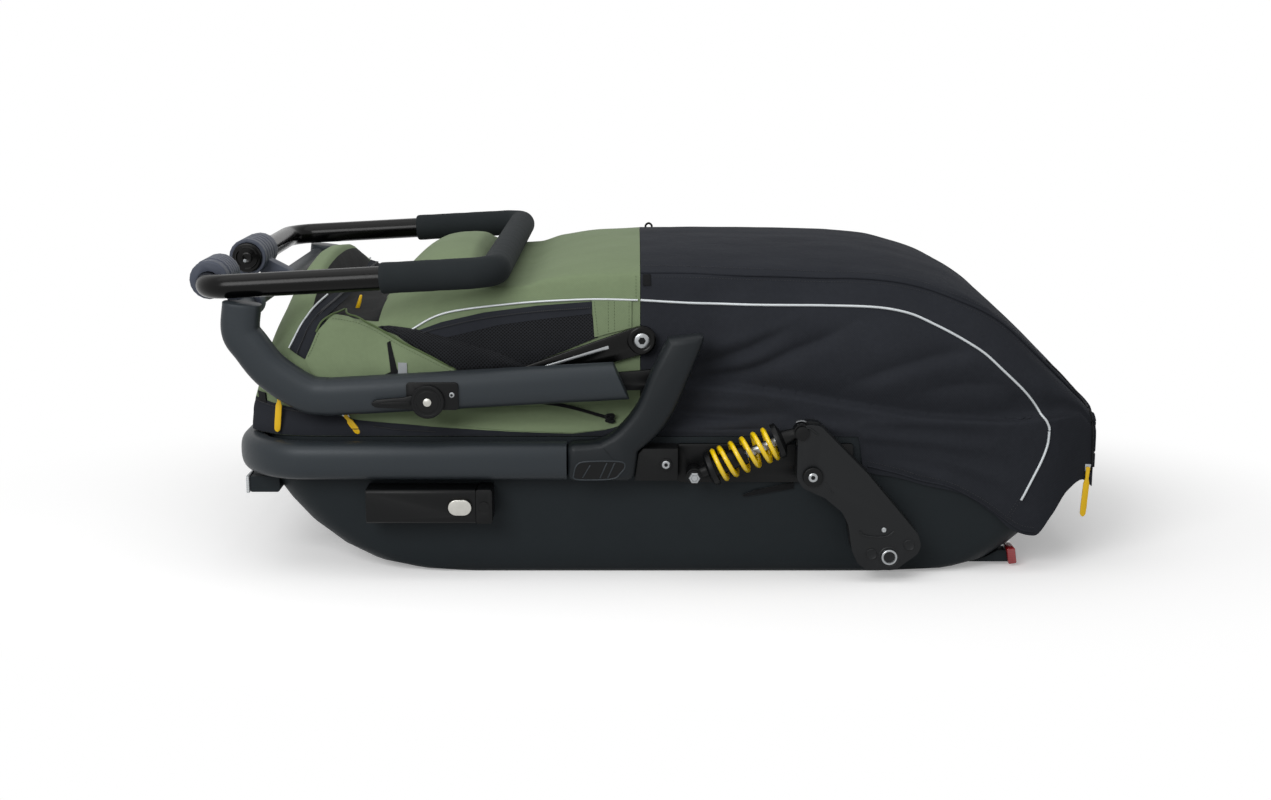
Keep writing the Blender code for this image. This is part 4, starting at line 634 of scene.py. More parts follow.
# %% Stitches and zip teeth
def beads_tree(name, shape, **sizes):
    """One small shape every Spacing along a line: a rounded stitch or a square zip tooth."""
    tree, given, out = tree_with(name, {"Spacing": 0.004, "Length": 0.0028, "Width": 0.0007, "Height": 0.0005})
    curve = node(tree, "GeometryNodeMeshToCurve", given["Geometry"])
    even = node(tree, "GeometryNodeResampleCurve", mode="LENGTH", Curve=curve, Length=given["Spacing"])
    tangent = node(tree, "GeometryNodeInputTangent")
    facing = node(tree, "FunctionNodeAlignRotationToVector", axis="X", Vector=tangent)
    bead = node(tree, shape, **sizes)
    size = node(tree, "CombineXYZ", given["Length"], given["Width"], given["Height"])
    placed = node(tree, "GeometryNodeInstanceOnPoints", Points=even, Instance=bead, Rotation=facing, Scale=size)
    real = node(tree, "GeometryNodeRealizeInstances", placed)
    feed(tree, out, node(tree, "GeometryNodeSetMaterial", Geometry=real, Material=given["Material"]))
    return tree


STITCHES = beads_tree("stitches_along_a_seam", "GeometryNodeMeshUVSphere", Segments=6, Rings=4, Radius=0.5)
TEETH = beads_tree("teeth_along_a_zip", "GeometryNodeMeshCube", Size=(1.0, 1.0, 1.0))
print("trees", STITCHES.name, "and", TEETH.name)

# %% [markdown]
# ## Screws
# A socket screw is a domed head with a hexagonal recess. The recess is cut with a boolean in the tree, and a
# dark plate closes its bottom as painted shade, because a real recess is deep enough to look black.

# %% A tree for socket screws
SHOULDER, RECESS, RECESS_SHADE_PLATE, SHADE_PLATE_HEIGHT = 0.80, 0.52, 0.51, 0.32


def screw_tree():
    """A button head screw on every point, its six-sided recess turned towards Side, -1 for left."""
    tree, given, out = tree_with("socket_screws", {"Radius": 0.005, "Height": 0.003, "Side": -1.0})
    shoulder, recess, shade_plate_radius = [node(tree, "Math", given["Radius"], share, operation="MULTIPLY")
                                      for share in (SHOULDER, RECESS, RECESS_SHADE_PLATE)]
    half_up, shade_plate_up = [node(tree, "CombineXYZ", Z=node(tree, "Math", given["Height"], share,
                                                         operation="MULTIPLY")) for share in (0.5, SHADE_PLATE_HEIGHT)]
    head = node(tree, "GeometryNodeMeshCylinder", Vertices=28, Radius=given["Radius"], Depth=given["Height"])
    dome = node(tree, "GeometryNodeMeshCone", Vertices=28, Depth=0.0007, Radius_Top=shoulder,
                Radius_Bottom=given["Radius"])
    key = node(tree, "GeometryNodeMeshCylinder", Vertices=6, Radius=recess, Depth=given["Height"])
    # the dark plate at the bottom of the recess is painted shade
    bottom = node(tree, "GeometryNodeMeshCylinder", Vertices=6, Radius=shade_plate_radius, Depth=0.0004)
    dome, key, bottom = [node(tree, "GeometryNodeTransform", Geometry=shape, Translation=up)
                         for shape, up in ((dome, half_up), (key, half_up), (bottom, shade_plate_up))]
    solid = node(tree, "GeometryNodeJoinGeometry", head)
    feed(tree, solid, dome)
    cut = node(tree, "GeometryNodeMeshBoolean", operation="DIFFERENCE", Mesh_1=solid, Mesh_2=key)
    screw = node(tree, "GeometryNodeJoinGeometry",
                 node(tree, "GeometryNodeSetMaterial", Geometry=cut, Material=given["Material"]))
    feed(tree, screw, node(tree, "GeometryNodeSetMaterial", Geometry=bottom, Material=DARK_RUBBER_AND_HOLE_SHADE))
    turn = node(tree, "CombineXYZ", node(tree, "Math", given["Side"], -math.pi / 2, operation="MULTIPLY"))
    placed = node(tree, "GeometryNodeInstanceOnPoints", Points=given["Geometry"], Instance=screw, Rotation=turn)
    feed(tree, out, node(tree, "GeometryNodeRealizeInstances", placed))
    return tree


SCREWS = screw_tree()


def screw(name, body, spot, side, radius_mm, height_mm):
    """A steel screw on a body. Its middle is at the spot, so half of its height stands out of the face."""
    x, y, z = spot
    made = run_tree(line_object(name, [(x, side * y, z)]), SCREWS, STEEL, Radius=radius_mm / 1000.0,
                    Height=height_mm / 1000.0, Side=float(side))
    return place(made, body, "steel")


print("Geometry Nodes trees:", [tree.name for tree in bpy.data.node_groups])

# %% [markdown]
# ## The lower frame and the hoop
# Both are bent from the same flat oval tube, 44 by 35 mm. A bent tube keeps its section, so it is drawn as one
# section carried along the bend. The hoop's rear ends are cut at a slant, because they stand on the corner
# posts when the trailer is opened.

# %% Lower frame tube
RAIL_MID, RAIL_Z, RAIL_WIDTH, RAIL_HEIGHT, RAIL_OUT = 0.280, 0.1415, 0.035, 0.044, 0.2975
RAIL_FRONT_X, RAIL_REAR_X, FRAME_BEND = -0.466, -0.0935, 0.075
frame_corners = ((RAIL_REAR_X, -RAIL_MID), (RAIL_FRONT_X, -RAIL_MID), (RAIL_FRONT_X, RAIL_MID),
                 (RAIL_REAR_X, RAIL_MID))
frame_route = bent_path([(x, y, RAIL_Z) for x, y in frame_corners], FRAME_BEND, steps=20)
lower_tube = swept("lower_frame_tube", frame_route, oval_section(RAIL_HEIGHT, RAIL_WIDTH), FRAME_PAINT, up=UPWARDS)
place(rounded(lower_tube, 0.6, 2, 60.0), "base", "frame_paint", "base_frame_tube")
print("lower tube", len(frame_route), "points along")

# %% Folding hoop
FOLD_AXIS, FOLD_ANGLE = (0.0260, 0.2335), math.radians(107.0)
POST_TOP, SEAT_GAP, SEAT_TILT = (0.0442, 0.2874), 0.0003, math.radians(7.0)
HOOP_BEND = ((-0.3645, 0.2164), (-0.3913, 0.2205), (-0.4296, 0.2458), (-0.4519, 0.2740), (-0.4632, 0.2932),
             (-0.4605, 0.3245))
HOOP_TUBE_HEIGHT = 0.0433
CROSS_HALF, CROSS_RADIUS = 0.2622, 0.0105


def folded_back(x, z):
    """Where a point of the raised hoop lies now."""
    dx, dz = x - FOLD_AXIS[0], z - FOLD_AXIS[1]
    return (FOLD_AXIS[0] + dx * math.cos(FOLD_ANGLE) - dz * math.sin(FOLD_ANGLE),
            FOLD_AXIS[1] + dx * math.sin(FOLD_ANGLE) + dz * math.cos(FOLD_ANGLE))


start, past = [folded_back(POST_TOP[0] - far * math.sin(SEAT_TILT), POST_TOP[1] + far * math.cos(SEAT_TILT))
               for far in (SEAT_GAP, 1.0)]
slant_normal = np.array((past[0] - start[0], 0.0, past[1] - start[1]))
slant_normal /= np.linalg.norm(slant_normal)
hoop_route = [start, *smooth_line(HOOP_BEND, 8)]
for side, label in SIDES:
    rail = swept(f"hoop_tube_{label}", [(x, side * RAIL_MID, z) for x, z in hoop_route],
                 oval_section(RAIL_WIDTH, HOOP_TUBE_HEIGHT), FRAME_PAINT, up=ALONG_Y, start_normal=slant_normal)
    place(rounded(rail, 0.8, 2, 60.0), "hoop", "frame_paint", f"hoop_rail_{label}")
cross = turned("hoop_cross_bar", ((0.0, CROSS_RADIUS - 0.001), (0.001, CROSS_RADIUS),
                                  (2 * CROSS_HALF - 0.001, CROSS_RADIUS), (2 * CROSS_HALF, CROSS_RADIUS - 0.001)),
               (-0.470, -CROSS_HALF, 0.312), ALONG_Y, FRAME_PAINT)
place(cross, "hoop", "frame_paint", "hoop_cross_tube")
print("hoop tube", len(hoop_route), "points along")

# %% [markdown]
# ## The corner posts
# Each post is a casting, with the rail's oval at its foot and a flat oval seat for the hoop at its top. A
# recess with small ribs saves metal at the heel. The recess is drawn as a dark pocket with the ribs standing
# in it, and its dark is painted shade.

# %% Corner posts, brackets and hinge arms
PLAIN_PARTS = {"hinge_arm": 0.8, "hinge_pin": 0.6, "suspension_bar": 1.0, "lock_plate": 0.6, "stay_hub": 0.0,
               "stay": 0.8}
for _, label in SIDES:
    finished_copy(f"corner_post_{label}", 0.8, 2, 50.0, material=POST_PAINT, sharp_deg=50.0)
    finished_copy(f"post_foot_{label}", 1.6, 3, 40.0, material=DARK_RUBBER_AND_HOLE_SHADE)
    for part, radius_mm in PLAIN_PARTS.items():
        finished_copy(f"{part}_{label}", radius_mm)
print(2 * (2 + len(PLAIN_PARTS)), "parts round the posts")

# %% Recess at the heel of each post
RECESS_RIM = ((-0.0860, 0.1250), (-0.0820, 0.1395), (-0.0700, 0.1440), (-0.0330, 0.1440), (-0.0265, 0.1385),
              (-0.0320, 0.1300), (-0.0420, 0.1235), (-0.0780, 0.1225))
RECESS_RIBS = ((-0.0760, 0.1250, -0.0670, 0.1400), (-0.0560, 0.1245, -0.0480, 0.1425),
               (-0.0470, 0.1250, -0.0390, 0.1425))
RECESS_DEPTH, RIB_WIDTH, RIB_HEIGHT = 0.004, 0.0016, 0.0010
rim = smooth_line(RECESS_RIM + RECESS_RIM[:1], 5)
for side, label in SIDES:
    skin = side * RAIL_OUT
    # the black slab in the recess is painted shade
    recess = plate(f"post_recess_{label}", [tuple(p) for p in rim[:-1]], skin - side * RECESS_DEPTH,
                   skin + side * 0.0003, BLACK_PLASTIC)
    lip = swept(f"post_recess_lip_{label}", [(x, skin + side * 0.0001, z) for x, z in rim],
                round_section(0.0009, 8), FRAME_PAINT, up=ALONG_Y)
    ribs = [plate(f"post_rib_{label}", [(x0, z0), (x0 + RIB_WIDTH, z0), (x1 + RIB_WIDTH, z1), (x1, z1)], skin,
                  skin + side * RIB_HEIGHT, FRAME_PAINT, radius_mm=0.4) for x0, z0, x1, z1 in RECESS_RIBS]
    place(merged(f"post_recess_{label}", [recess, lip, *ribs]), "base", "frame_paint")
print(len(RECESS_RIBS), "ribs in each recess")

# %% [markdown]
# ## Moulded and turned parts
# The tub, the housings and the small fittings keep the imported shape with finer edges. The bevel widths are
# those of real parts: a millimetre or two on mouldings, less on turned metal.

# %% Tub and fittings
finished_copy("tub_shell", 0.0, sharp_deg=48.0)
finished_copy("floor_mat", 2.0)
finished_copy("cover_bow", 0.0)
finished_copy("drawbar_socket", 0.7)
finished_copy("socket_end", 0.9, material=BLACK_PLASTIC)
finished_copy("drawbar_button", 0.9, 3, material=BUTTON_METAL)
finished_copy("front_reflector", 0.8)
finished_copy("rear_reflector", 1.2, 3)
print("mat under the covers", [round(v, 3) for v in depths_of("floor_mat")])

# %% Housings, swingarms and bolts
SWINGARM_RADIUS_MM = 1.3
TURNED_PARTS = (("bar_housing", 0.5, None), ("bar_collar", 0.5, None), ("bar_button", 0.8, GLOSS_BLACK),
                ("swingarm", SWINGARM_RADIUS_MM, SWINGARM_PLASTIC), ("swingarm_bolt", 0.5, BLACK_PLASTIC),
                ("axle_bush", 0.4, STEEL), ("shock_rear_bolt", 0.4, BLACK_PLASTIC),
                ("shock_front_bolt", 0.4, BLACK_PLASTIC), ("shock_body", 0.4, None),
                ("shock_rod", 0.3, BLACK_PLASTIC))
for _, label in SIDES:
    for part, radius_mm, finish in TURNED_PARTS:
        finished_copy(f"{part}_{label}", radius_mm, 3 if radius_mm == SWINGARM_RADIUS_MM else 2, 40.0,
                      material=finish, sharp_deg=44.0)
print(len(TURNED_PARTS), "parts on each side")

# %% [markdown]
# ## The push bar and its foam grip
# The bar is one tube bent into a U, gloss black, with a foam sleeve over its far end. The foam is thicker than
# the bar, and its cut ends are a little rounded where scissors and the rubber glue pull them in.

# %% Push bar
BAR_X, BAR_Z, BAR_DROP, BAR_SLOPE = -0.508, 0.3445, 0.004, math.radians(3.1)
ARM_Y, BAR_REACH, BAR_RADIUS = 0.270, 0.333, 0.0138
JOINT_BEND, GRIP_BEND = 0.034, 0.030
# where each end of the tube enters its joint, on the left and on the right
LEFT_END, RIGHT_END = -0.236 + 0.0125, 0.060 - 0.0125
bar_along = np.array((math.cos(BAR_SLOPE), 0.0, math.sin(BAR_SLOPE)))
bar_up = (-math.sin(BAR_SLOPE), 0.0, math.cos(BAR_SLOPE))
bar_base = np.array((BAR_X, 0.0, BAR_Z - BAR_DROP))
reach = bar_along * BAR_REACH
left_corner, right_corner = bar_base + (0, -ARM_Y, 0), bar_base + (0, ARM_Y, 0)
near_bend = bent_path((bar_base + (0, LEFT_END, 0), left_corner, left_corner + reach / 2), JOINT_BEND, 16)
far_bend = bent_path((right_corner + reach / 2, right_corner, bar_base + (0, RIGHT_END, 0)), JOINT_BEND, 16)
far_corners = bent_path((near_bend[-1], left_corner + reach, right_corner + reach, far_bend[0]), GRIP_BEND, 16)
bar = swept("push_bar_tube", np.vstack([near_bend[:-1], far_corners, far_bend[1:]]),
            round_section(BAR_RADIUS, 28), GLOSS_BLACK, up=bar_up)
place(bar, "handlebar", "gloss_black", "push_bar")
print("push bar", round(float(np.linalg.norm(reach)), 3), "m from its joints to the grip")

# %% Foam grip
FOAM_RADIUS, END_ROUNDING, END_LENGTH = 0.0178, 0.0021, 0.003
GRIP_FROM_LEFT, GRIP_FROM_RIGHT, SLEEVE_SIDES = 0.204, 0.181, 40
UNEVEN = 0.00018
grip_line = np.vstack([left_corner + bar_along * GRIP_FROM_LEFT, far_corners[1:-1],
                       right_corner + bar_along * GRIP_FROM_RIGHT])
lengths = np.concatenate([[0], np.cumsum(np.linalg.norm(np.diff(grip_line, axis=0), axis=1))])
grip_length = lengths[-1]
stops = np.unique(np.concatenate([[0, 0.0006, 0.0015, END_LENGTH], np.linspace(0.005, grip_length - 0.005, 150),
                                  grip_length - np.array((END_LENGTH, 0.0015, 0.0006, 0))]))
sleeve_path = np.column_stack([np.interp(stops, lengths, grip_line[:, k]) for k in range(3)])
sleeve_points = []
for far, centre, (_, normal, across) in zip(stops, sleeve_path, frames_along(sleeve_path, bar_up)):
    end = min(far, grip_length - far)
    radius = FOAM_RADIUS - END_ROUNDING * max(0.0, 1 - end / END_LENGTH) ** 2
    radius += UNEVEN * math.sin(far * 210.0) * math.sin(far * 57.0 + 1.0)
    sleeve_points += [centre + (normal * a + across * b) * radius for a, b in round_section(1.0, SLEEVE_SIDES)]
sleeve = outward(mesh_object("grip_sleeve", sleeve_points, ring_faces(len(stops), SLEEVE_SIDES), FOAM, 60.0))
place(sleeve, "handlebar", "foam", "grip_foam")
print("grip length", round(float(grip_length), 3), "m")

# %% [markdown]
# ## The joints of the push bar
# Each joint is a ribbed housing with a glossy release button in its inner face. The button has a moulded ring
# of three segments and a light index dot.

# %% Button faces
KNUCKLES = {LEFT: (-0.236, -0.172), RIGHT: (0.060, -0.026)}
BUTTON_STANDS, RING_RADIUS = 0.0045, 0.0135
SEGMENT = ((0.0018, 0.0), (0.0009, 0.0011), (-0.0009, 0.0011), (-0.0018, 0.0), (-0.0009, -0.0011),
           (0.0009, -0.0011))
for side, label in SIDES:
    outer, inner = KNUCKLES[side]
    facing = math.copysign(1.0, inner - outer)
    face = inner + facing * BUTTON_STANDS
    marks = []
    for start_deg in (20, 140, 260):
        arc = [(BAR_X + RING_RADIUS * math.cos(math.radians(a)), face + facing * 0.0001,
                BAR_Z + RING_RADIUS * math.sin(math.radians(a))) for a in range(start_deg, start_deg + 96, 6)]
        marks.append(swept("segment", arc, SEGMENT, GLOSS_BLACK, up=ALONG_Y))
    marks.append(turned("button_hub", ((0.0, 0.0075), (0.0009, 0.0070), (0.0012, 0.0055), (0.0008, 0.0048)),
                        (BAR_X, face, BAR_Z), (0, facing, 0), GLOSS_BLACK, 32))
    place(merged(f"button_segments_{label}", marks), f"bar_button_{label[0]}", "gloss_black")
    dot = turned(f"button_index_dot_{label}", ((0.0, 0.0022), (0.0006, 0.0022), (0.0010, 0.0016)),
                 (BAR_X - 0.0022, face + facing * 0.0008, BAR_Z - 0.0035), (0, facing, 0), GREY_TAG, 20)
    place(dot, f"bar_button_{label[0]}", "grey_plastic")
print("button faces at y", [round(inner, 3) for _, inner in KNUCKLES.values()])

# %% [markdown]
# ## Springs and shocks
# A coil spring is one wire wound round the damper, with closer turns at both ends where it sits on its seats.
# It shortens as the arm travels.

# %% Coil springs
SHOCK_FRONT, SHOCK_REAR, SHOCK_MID = (0.053, 0.1262), (0.1754, 0.1782), 0.2905
WIRE, COIL, TURNS, END_PITCH, STEPS_A_TURN = 0.00275, 0.021, 6, 0.0075, 26
# the seats' distance from the front eye, the spring's gap to them, and what full travel leaves of its length
FRONT_SEAT, REAR_SEAT, SEAT_ROOM, KEPT_LENGTH = 0.025, 0.1015, 0.0003, 0.784
shock_lines = {}
for side, label in SIDES:
    front_eye, rear_eye = [np.array((x, side * SHOCK_MID, z)) for x, z in (SHOCK_FRONT, SHOCK_REAR)]
    along = (rear_eye - front_eye) / np.linalg.norm(rear_eye - front_eye)
    shock_lines[label] = (front_eye, along)
    first, last = FRONT_SEAT + SEAT_ROOM + WIRE, REAR_SEAT - SEAT_ROOM - WIRE
    open_pitch = (last - first - 2 * END_PITCH) / (TURNS - 2)
    u = np.array(ALONG_Y)
    v = np.cross(along, u)
    coil = []
    for k in range(TURNS * STEPS_A_TURN + 1):
        turns = TURNS * k / (TURNS * STEPS_A_TURN)
        closed = min(turns, 1.0) + max(turns - (TURNS - 1), 0.0)
        far = first + closed * END_PITCH + (turns - closed) * open_pitch
        angle = 2 * math.pi * turns
        coil.append(front_eye + along * far + (u * math.cos(angle) + v * math.sin(angle)) * (COIL - WIRE) * -side)
    spring = swept(f"coil_spring_{label}", coil, round_section(WIRE, 14), SPRING_PAINT)
    place(spring, f"shock_{label[0]}", "spring_yellow", f"shock_spring_{label}")
    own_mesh(spring)
print("spring", round(last - first, 4), "m between its seats")

# %% Nuts and bright rods of the shocks
NUT = ((-0.0005, 0.0042), (-0.0005, 0.0066), (0.0022, 0.0066), (0.0028, 0.0060), (0.0028, 0.0042))
BOLT_TIP = ((-0.0005, 0.0040), (0.0018, 0.0040), (0.0024, 0.0034))
ROD_END, ROD_RADIUS = 0.1008, 0.0062
for side, label in SIDES:
    nut_base = (SHOCK_FRONT[0], side * depths_of(f"shock_front_bolt_{label}")[1], SHOCK_FRONT[1])
    nut = hollow(f"shock_nut_{label}", NUT, nut_base, (0, side, 0), STEEL, 6, 20.0)
    tip = turned("bolt_tip", BOLT_TIP, nut_base, (0, side, 0), STEEL, 24)
    place(merged(f"shock_nut_{label}", [nut, tip]), "base", "steel")
    front_eye, along = shock_lines[label]
    rod = bpy.data.objects[f"shock_rod_{label}_finished"].data
    rod.materials.append(STEEL)
    for face in rod.polygons:
        offset = np.array(face.center) - front_eye
        far = float(offset @ along)
        if far < ROD_END and np.linalg.norm(offset - along * far) < ROD_RADIUS:
            face.material_index = 1
print("steel faces on a rod", sum(face.material_index for face in rod.polygons))

# %% [markdown]
# ## Details of the swingarm, the lock, the hub and the posts
# Bosses, ribs and screw heads break up the plain faces. They stand a millimetre or less above the moulding,
# which is enough for each to catch its own highlight. Each is a small turned, swept or flat shape set on the
# face of its part.

# %% Swingarm bosses, its rings and its bolts
ARM_FACE, ON_FACE, RIB_RADIUS = 0.3015, 0.0001, 0.0013
AXLE, PIVOT, EYE_RIM = (0.2785, 0.0315), (0.1882, 0.1273), 0.0116
HUB, HUB_FACE = (-0.007, 0.277), 0.2557
BOSSES = ((0.258, 0.0350), (0.301, 0.0460))
ARM_RIBS = (((0.2440, 0.0625), (0.2490, 0.0575), (0.2640, 0.0555), (0.2760, 0.0570), (0.2830, 0.0625)),
            ((0.1762, 0.1690), (0.1775, 0.1815), (0.1835, 0.1835), (0.1935, 0.1765)))
ARM_MARK = ((0.2015, 0.1185), (0.2040, 0.1200), (0.2130, 0.1075), (0.2105, 0.1060))
BOSS = ((-0.001, 0.0066), (0.0006, 0.0066), (0.0014, 0.0058), (0.0008, 0.0048))
AXLE_BOSS = ((-0.001, 0.0125), (0.0002, 0.0125), (0.0009, 0.0115), (0.0005, 0.0102))
AXLE_RING = ((0.0002, 0.0066), (0.0002, 0.0092), (0.0020, 0.0090), (0.0026, 0.0082), (0.0026, 0.0070),
             (0.0020, 0.0066))
HUB_RING = ((0.0, 0.0104), (0.0, 0.0160), (0.0008, 0.0158), (0.0015, 0.0140), (0.0010, 0.0112),
            (0.0005, 0.0104))
for side, label in SIDES:
    arm, axis = f"swingarm_{label[0]}", (0, side, 0)
    axle = (AXLE[0], side * ARM_FACE, AXLE[1])
    details = [turned("boss", BOSS, (x, side * ARM_FACE, z), axis, SWINGARM_PLASTIC, 36) for x, z in BOSSES]
    details += [swept("rib", [(x, side * (ARM_FACE + ON_FACE), z) for x, z in smooth_line(rib, 6)],
                      round_section(RIB_RADIUS, 8), SWINGARM_PLASTIC, up=ALONG_Y) for rib in ARM_RIBS]
    details += [turned("boss", AXLE_BOSS, axle, axis, SWINGARM_PLASTIC),
                plate("mark", ARM_MARK, side * ARM_FACE, side * (ARM_FACE + 0.0005), SWINGARM_PLASTIC, 0.2)]
    place(merged(f"arm_bosses_{label}", details), arm, "black_plastic")
    place(hollow(f"axle_ring_{label}", AXLE_RING, axle, axis, STEEL), arm, "steel")
    rim = [(SHOCK_REAR[0] + EYE_RIM * math.cos(a), side * 0.2850, SHOCK_REAR[1] + EYE_RIM * math.sin(a))
           for a in np.linspace(math.radians(62), math.radians(122), 24)]
    place(swept(f"eye_rim_{label}", rim, ((0.0040, 0.0006), (0.0040, -0.0006), (-0.0040, -0.0006),
                                          (-0.0040, 0.0006)), STEEL, up=ALONG_Y), arm, "steel")
    place(hollow(f"hub_ring_{label}", HUB_RING, (HUB[0], side * HUB_FACE, HUB[1]), axis, GLOSS_BLACK), "base",
          "gloss_black")
    foot_face = depths_of(f"post_foot_{label}")[1] - 0.0004
    screw(f"arm_screw_{label}", arm, (0.2715, ARM_FACE + 0.0003, 0.0640), side, 3.0, 1.4)
    screw(f"pivot_screw_{label}", "base", (PIVOT[0], ARM_FACE + 0.0047, PIVOT[1]), side, 5.2, 1.6)
    screw(f"hub_screw_{label}", "base", (HUB[0], HUB_FACE + 0.0001, HUB[1]), side, 8.6, 2.0)
    screw(f"foot_screw_{label}", "base", (0.0205, foot_face, 0.1393), side, 4.6, 2.4)
    screw(f"lock_screw_{label}", "hoop", (-0.2228, 0.3013, 0.2225), side, 3.2, 1.8)
print("axle at", AXLE, "pivot at", PIVOT)

# %% Lock lever
LEVER_FACE, LEVER_AXIS = 0.3083, (-0.2499, 0.2154)
LOCK_DISC = ((-0.0069, 0.0190), (-0.0010, 0.0190), (0.0, 0.0180), (0.0, 0.0158), (-0.0006, 0.0150),
             (-0.0006, 0.0128), (0.0, 0.0120), (0.0, 0.0056))
LEVER = ((-0.2560, 0.2262), (-0.2760, 0.2208), (-0.3080, 0.2178), (-0.3134, 0.2150), (-0.3134, 0.2118),
         (-0.3090, 0.2090), (-0.2760, 0.2072), (-0.2560, 0.2040))
LEVER_RIB = ((-0.2700, 0.2165), (-0.3040, 0.2150), (-0.3040, 0.2122), (-0.2700, 0.2112))
for side, label in SIDES:
    lever_body, axis = f"lock_lever_{label[0]}", (0, side, 0)
    disc = turned("lock_disc", LOCK_DISC, (LEVER_AXIS[0], side * LEVER_FACE, LEVER_AXIS[1]), axis, BLACK_PLASTIC, 64)
    lever = plate("lever", LEVER, side * 0.3015, side * (LEVER_FACE - 0.0012), BLACK_PLASTIC, 1.2)
    rib = plate("lever_rib", LEVER_RIB, side * (LEVER_FACE - 0.0014), side * (LEVER_FACE - 0.0002),
                BLACK_PLASTIC, 0.4)
    place(merged(f"lock_face_{label}", [disc, lever, rib]), lever_body, "black_plastic", f"lock_lever_{label}")
    pin = turned(f"lock_pin_{label}", ((0.0, 0.0046), (0.0016, 0.0046), (0.0020, 0.0040)),
                 (LEVER_AXIS[0], side * (LEVER_FACE - 0.0002), LEVER_AXIS[1]), axis, BUTTON_METAL, 32)
    place(pin, lever_body, "steel")
print("lever turns about", LEVER_AXIS)

# %% Painted highlight on the stay, hoop latch, tub strap and painted shade in the socket hole
STAY_HIGHLIGHT = ((-0.0460, 0.2705), (-0.1700, 0.2310), (-0.1712, 0.2283), (-0.0452, 0.2668))
LATCH = ((-0.4720, 0.3060), (-0.4640, 0.2975), (-0.4540, 0.2965), (-0.4480, 0.3030), (-0.4500, 0.3120),
         (-0.4600, 0.3160))
STRAP = ((0.1700, 0.1112), (0.1700, 0.1035), (0.1120, 0.0935), (0.1100, 0.0950), (0.1250, 0.1015))
LATCH_FACE = 0.2612
for side, label in SIDES:
    # a thin steel strip along the stay is a painted highlight
    place(plate(f"stay_edge_{label}", STAY_HIGHLIGHT, side * 0.2509, side * 0.2513, STEEL, 0.1), f"stay_{label[0]}",
          "steel")
    latch = plate(f"end_latch_{label}", LATCH, side * 0.2535, side * LATCH_FACE, BLACK_PLASTIC, 1.6)
    dot = turned("latch_button", ((-0.0005, 0.0026), (0.0008, 0.0026), (0.0012, 0.0020)),
                 (-0.4560, side * LATCH_FACE, 0.3075), (0, side, 0), GREY_PLASTIC, 24)
    place(merged(f"end_latch_{label}", [latch, dot]), "hoop", "black_plastic")
    place(plate(f"tub_strap_{label}", STRAP, side * 0.2623, side * 0.2643, BLACK_WEBBING, 0.5), "base",
          "black_fabric")
# the socket's hole is a thin dark disc: painted shade
place(turned("socket_hole_shade", ((0.0, 0.0062), (0.0005, 0.0062), (0.0005, 0.0050)), (-0.189, -0.2975, 0.0901),
             (0, -1, 0), DARK_RUBBER_AND_HOLE_SHADE, 32), "base", "black_plastic")

# %% [markdown]
# ## Zip pulls
# Each slider is a small metal body with a moulded rubber pull: a thin neck and a broad rounded end. The front
# pull is drawn where the photograph shows it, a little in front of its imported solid.

# %% Zip pulls and sliders
# the top and the lower end of each pull in side view
PULLS = {"front": ((-0.4265, 0.2150), (-0.4305, 0.1735)), "side": ((-0.3497, 0.1892), (-0.3370, 0.1714)),
         "rear": ((0.5225, 0.1171), (0.5190, 0.0624))}
FRONT_PULL_DEPTHS = (0.2585, 0.2609)
SLIDER = ((-0.0036, -0.006), (0.0036, -0.006), (0.0028, 0.003), (-0.0028, 0.003))
for name, ends in PULLS.items():
    in_front = name == "front"
    near, far = FRONT_PULL_DEPTHS if in_front else depths_of(f"zip_pull_{name}")
    slider_deep = 0.0110 if in_front else 0.0022
    top, low = np.array(ends)
    length = np.linalg.norm(low - top)
    line = (low - top) / length
    square = np.array((-line[1], line[0]))
    # distance along the pull and half its width there
    half = ((-0.0028, 0.0016), (-0.0018, 0.0026), (0.0, 0.0024), (0.20 * length, 0.0020), (0.32 * length, 0.0036),
            (0.85 * length, 0.0037), (length, 0.0034), (length + 0.0022, 0.0020), (length + 0.0031, 0.0008))
    rim = [top + line * a + square * b for a, b in half] + [top + line * a - square * b for a, b in half[::-1]]
    pull = plate(f"pull_{name}", rim, LEFT * near, LEFT * far, PULL_PLASTIC, 0.7)
    place(pull, f"pull_{name}", "pull_yellow", f"zip_pull_{name}")
    slider = plate(f"slider_{name}", [top + square * a + line * b for a, b in SLIDER],
                   LEFT * (near - slider_deep), LEFT * (near - 0.0002), STEEL, 0.4)
    place(slider, "base", "steel")
print("pulls", list(PULLS))

# %% [markdown]
# ## The covers
# The covers are cut and sewn so that their section is the same kind of line all along: up from the hem, in
# over a knee, up the side, round the top edge and across the crown. A table gives the sizes of that line
# every few centimetres. Between its rows a monotone cubic runs, which never overshoots, so taut cloth stays
# taut.

# %% Station tables
SKIRT, EDGE, HEM_Z = 0.2655, 0.2320, 0.1656

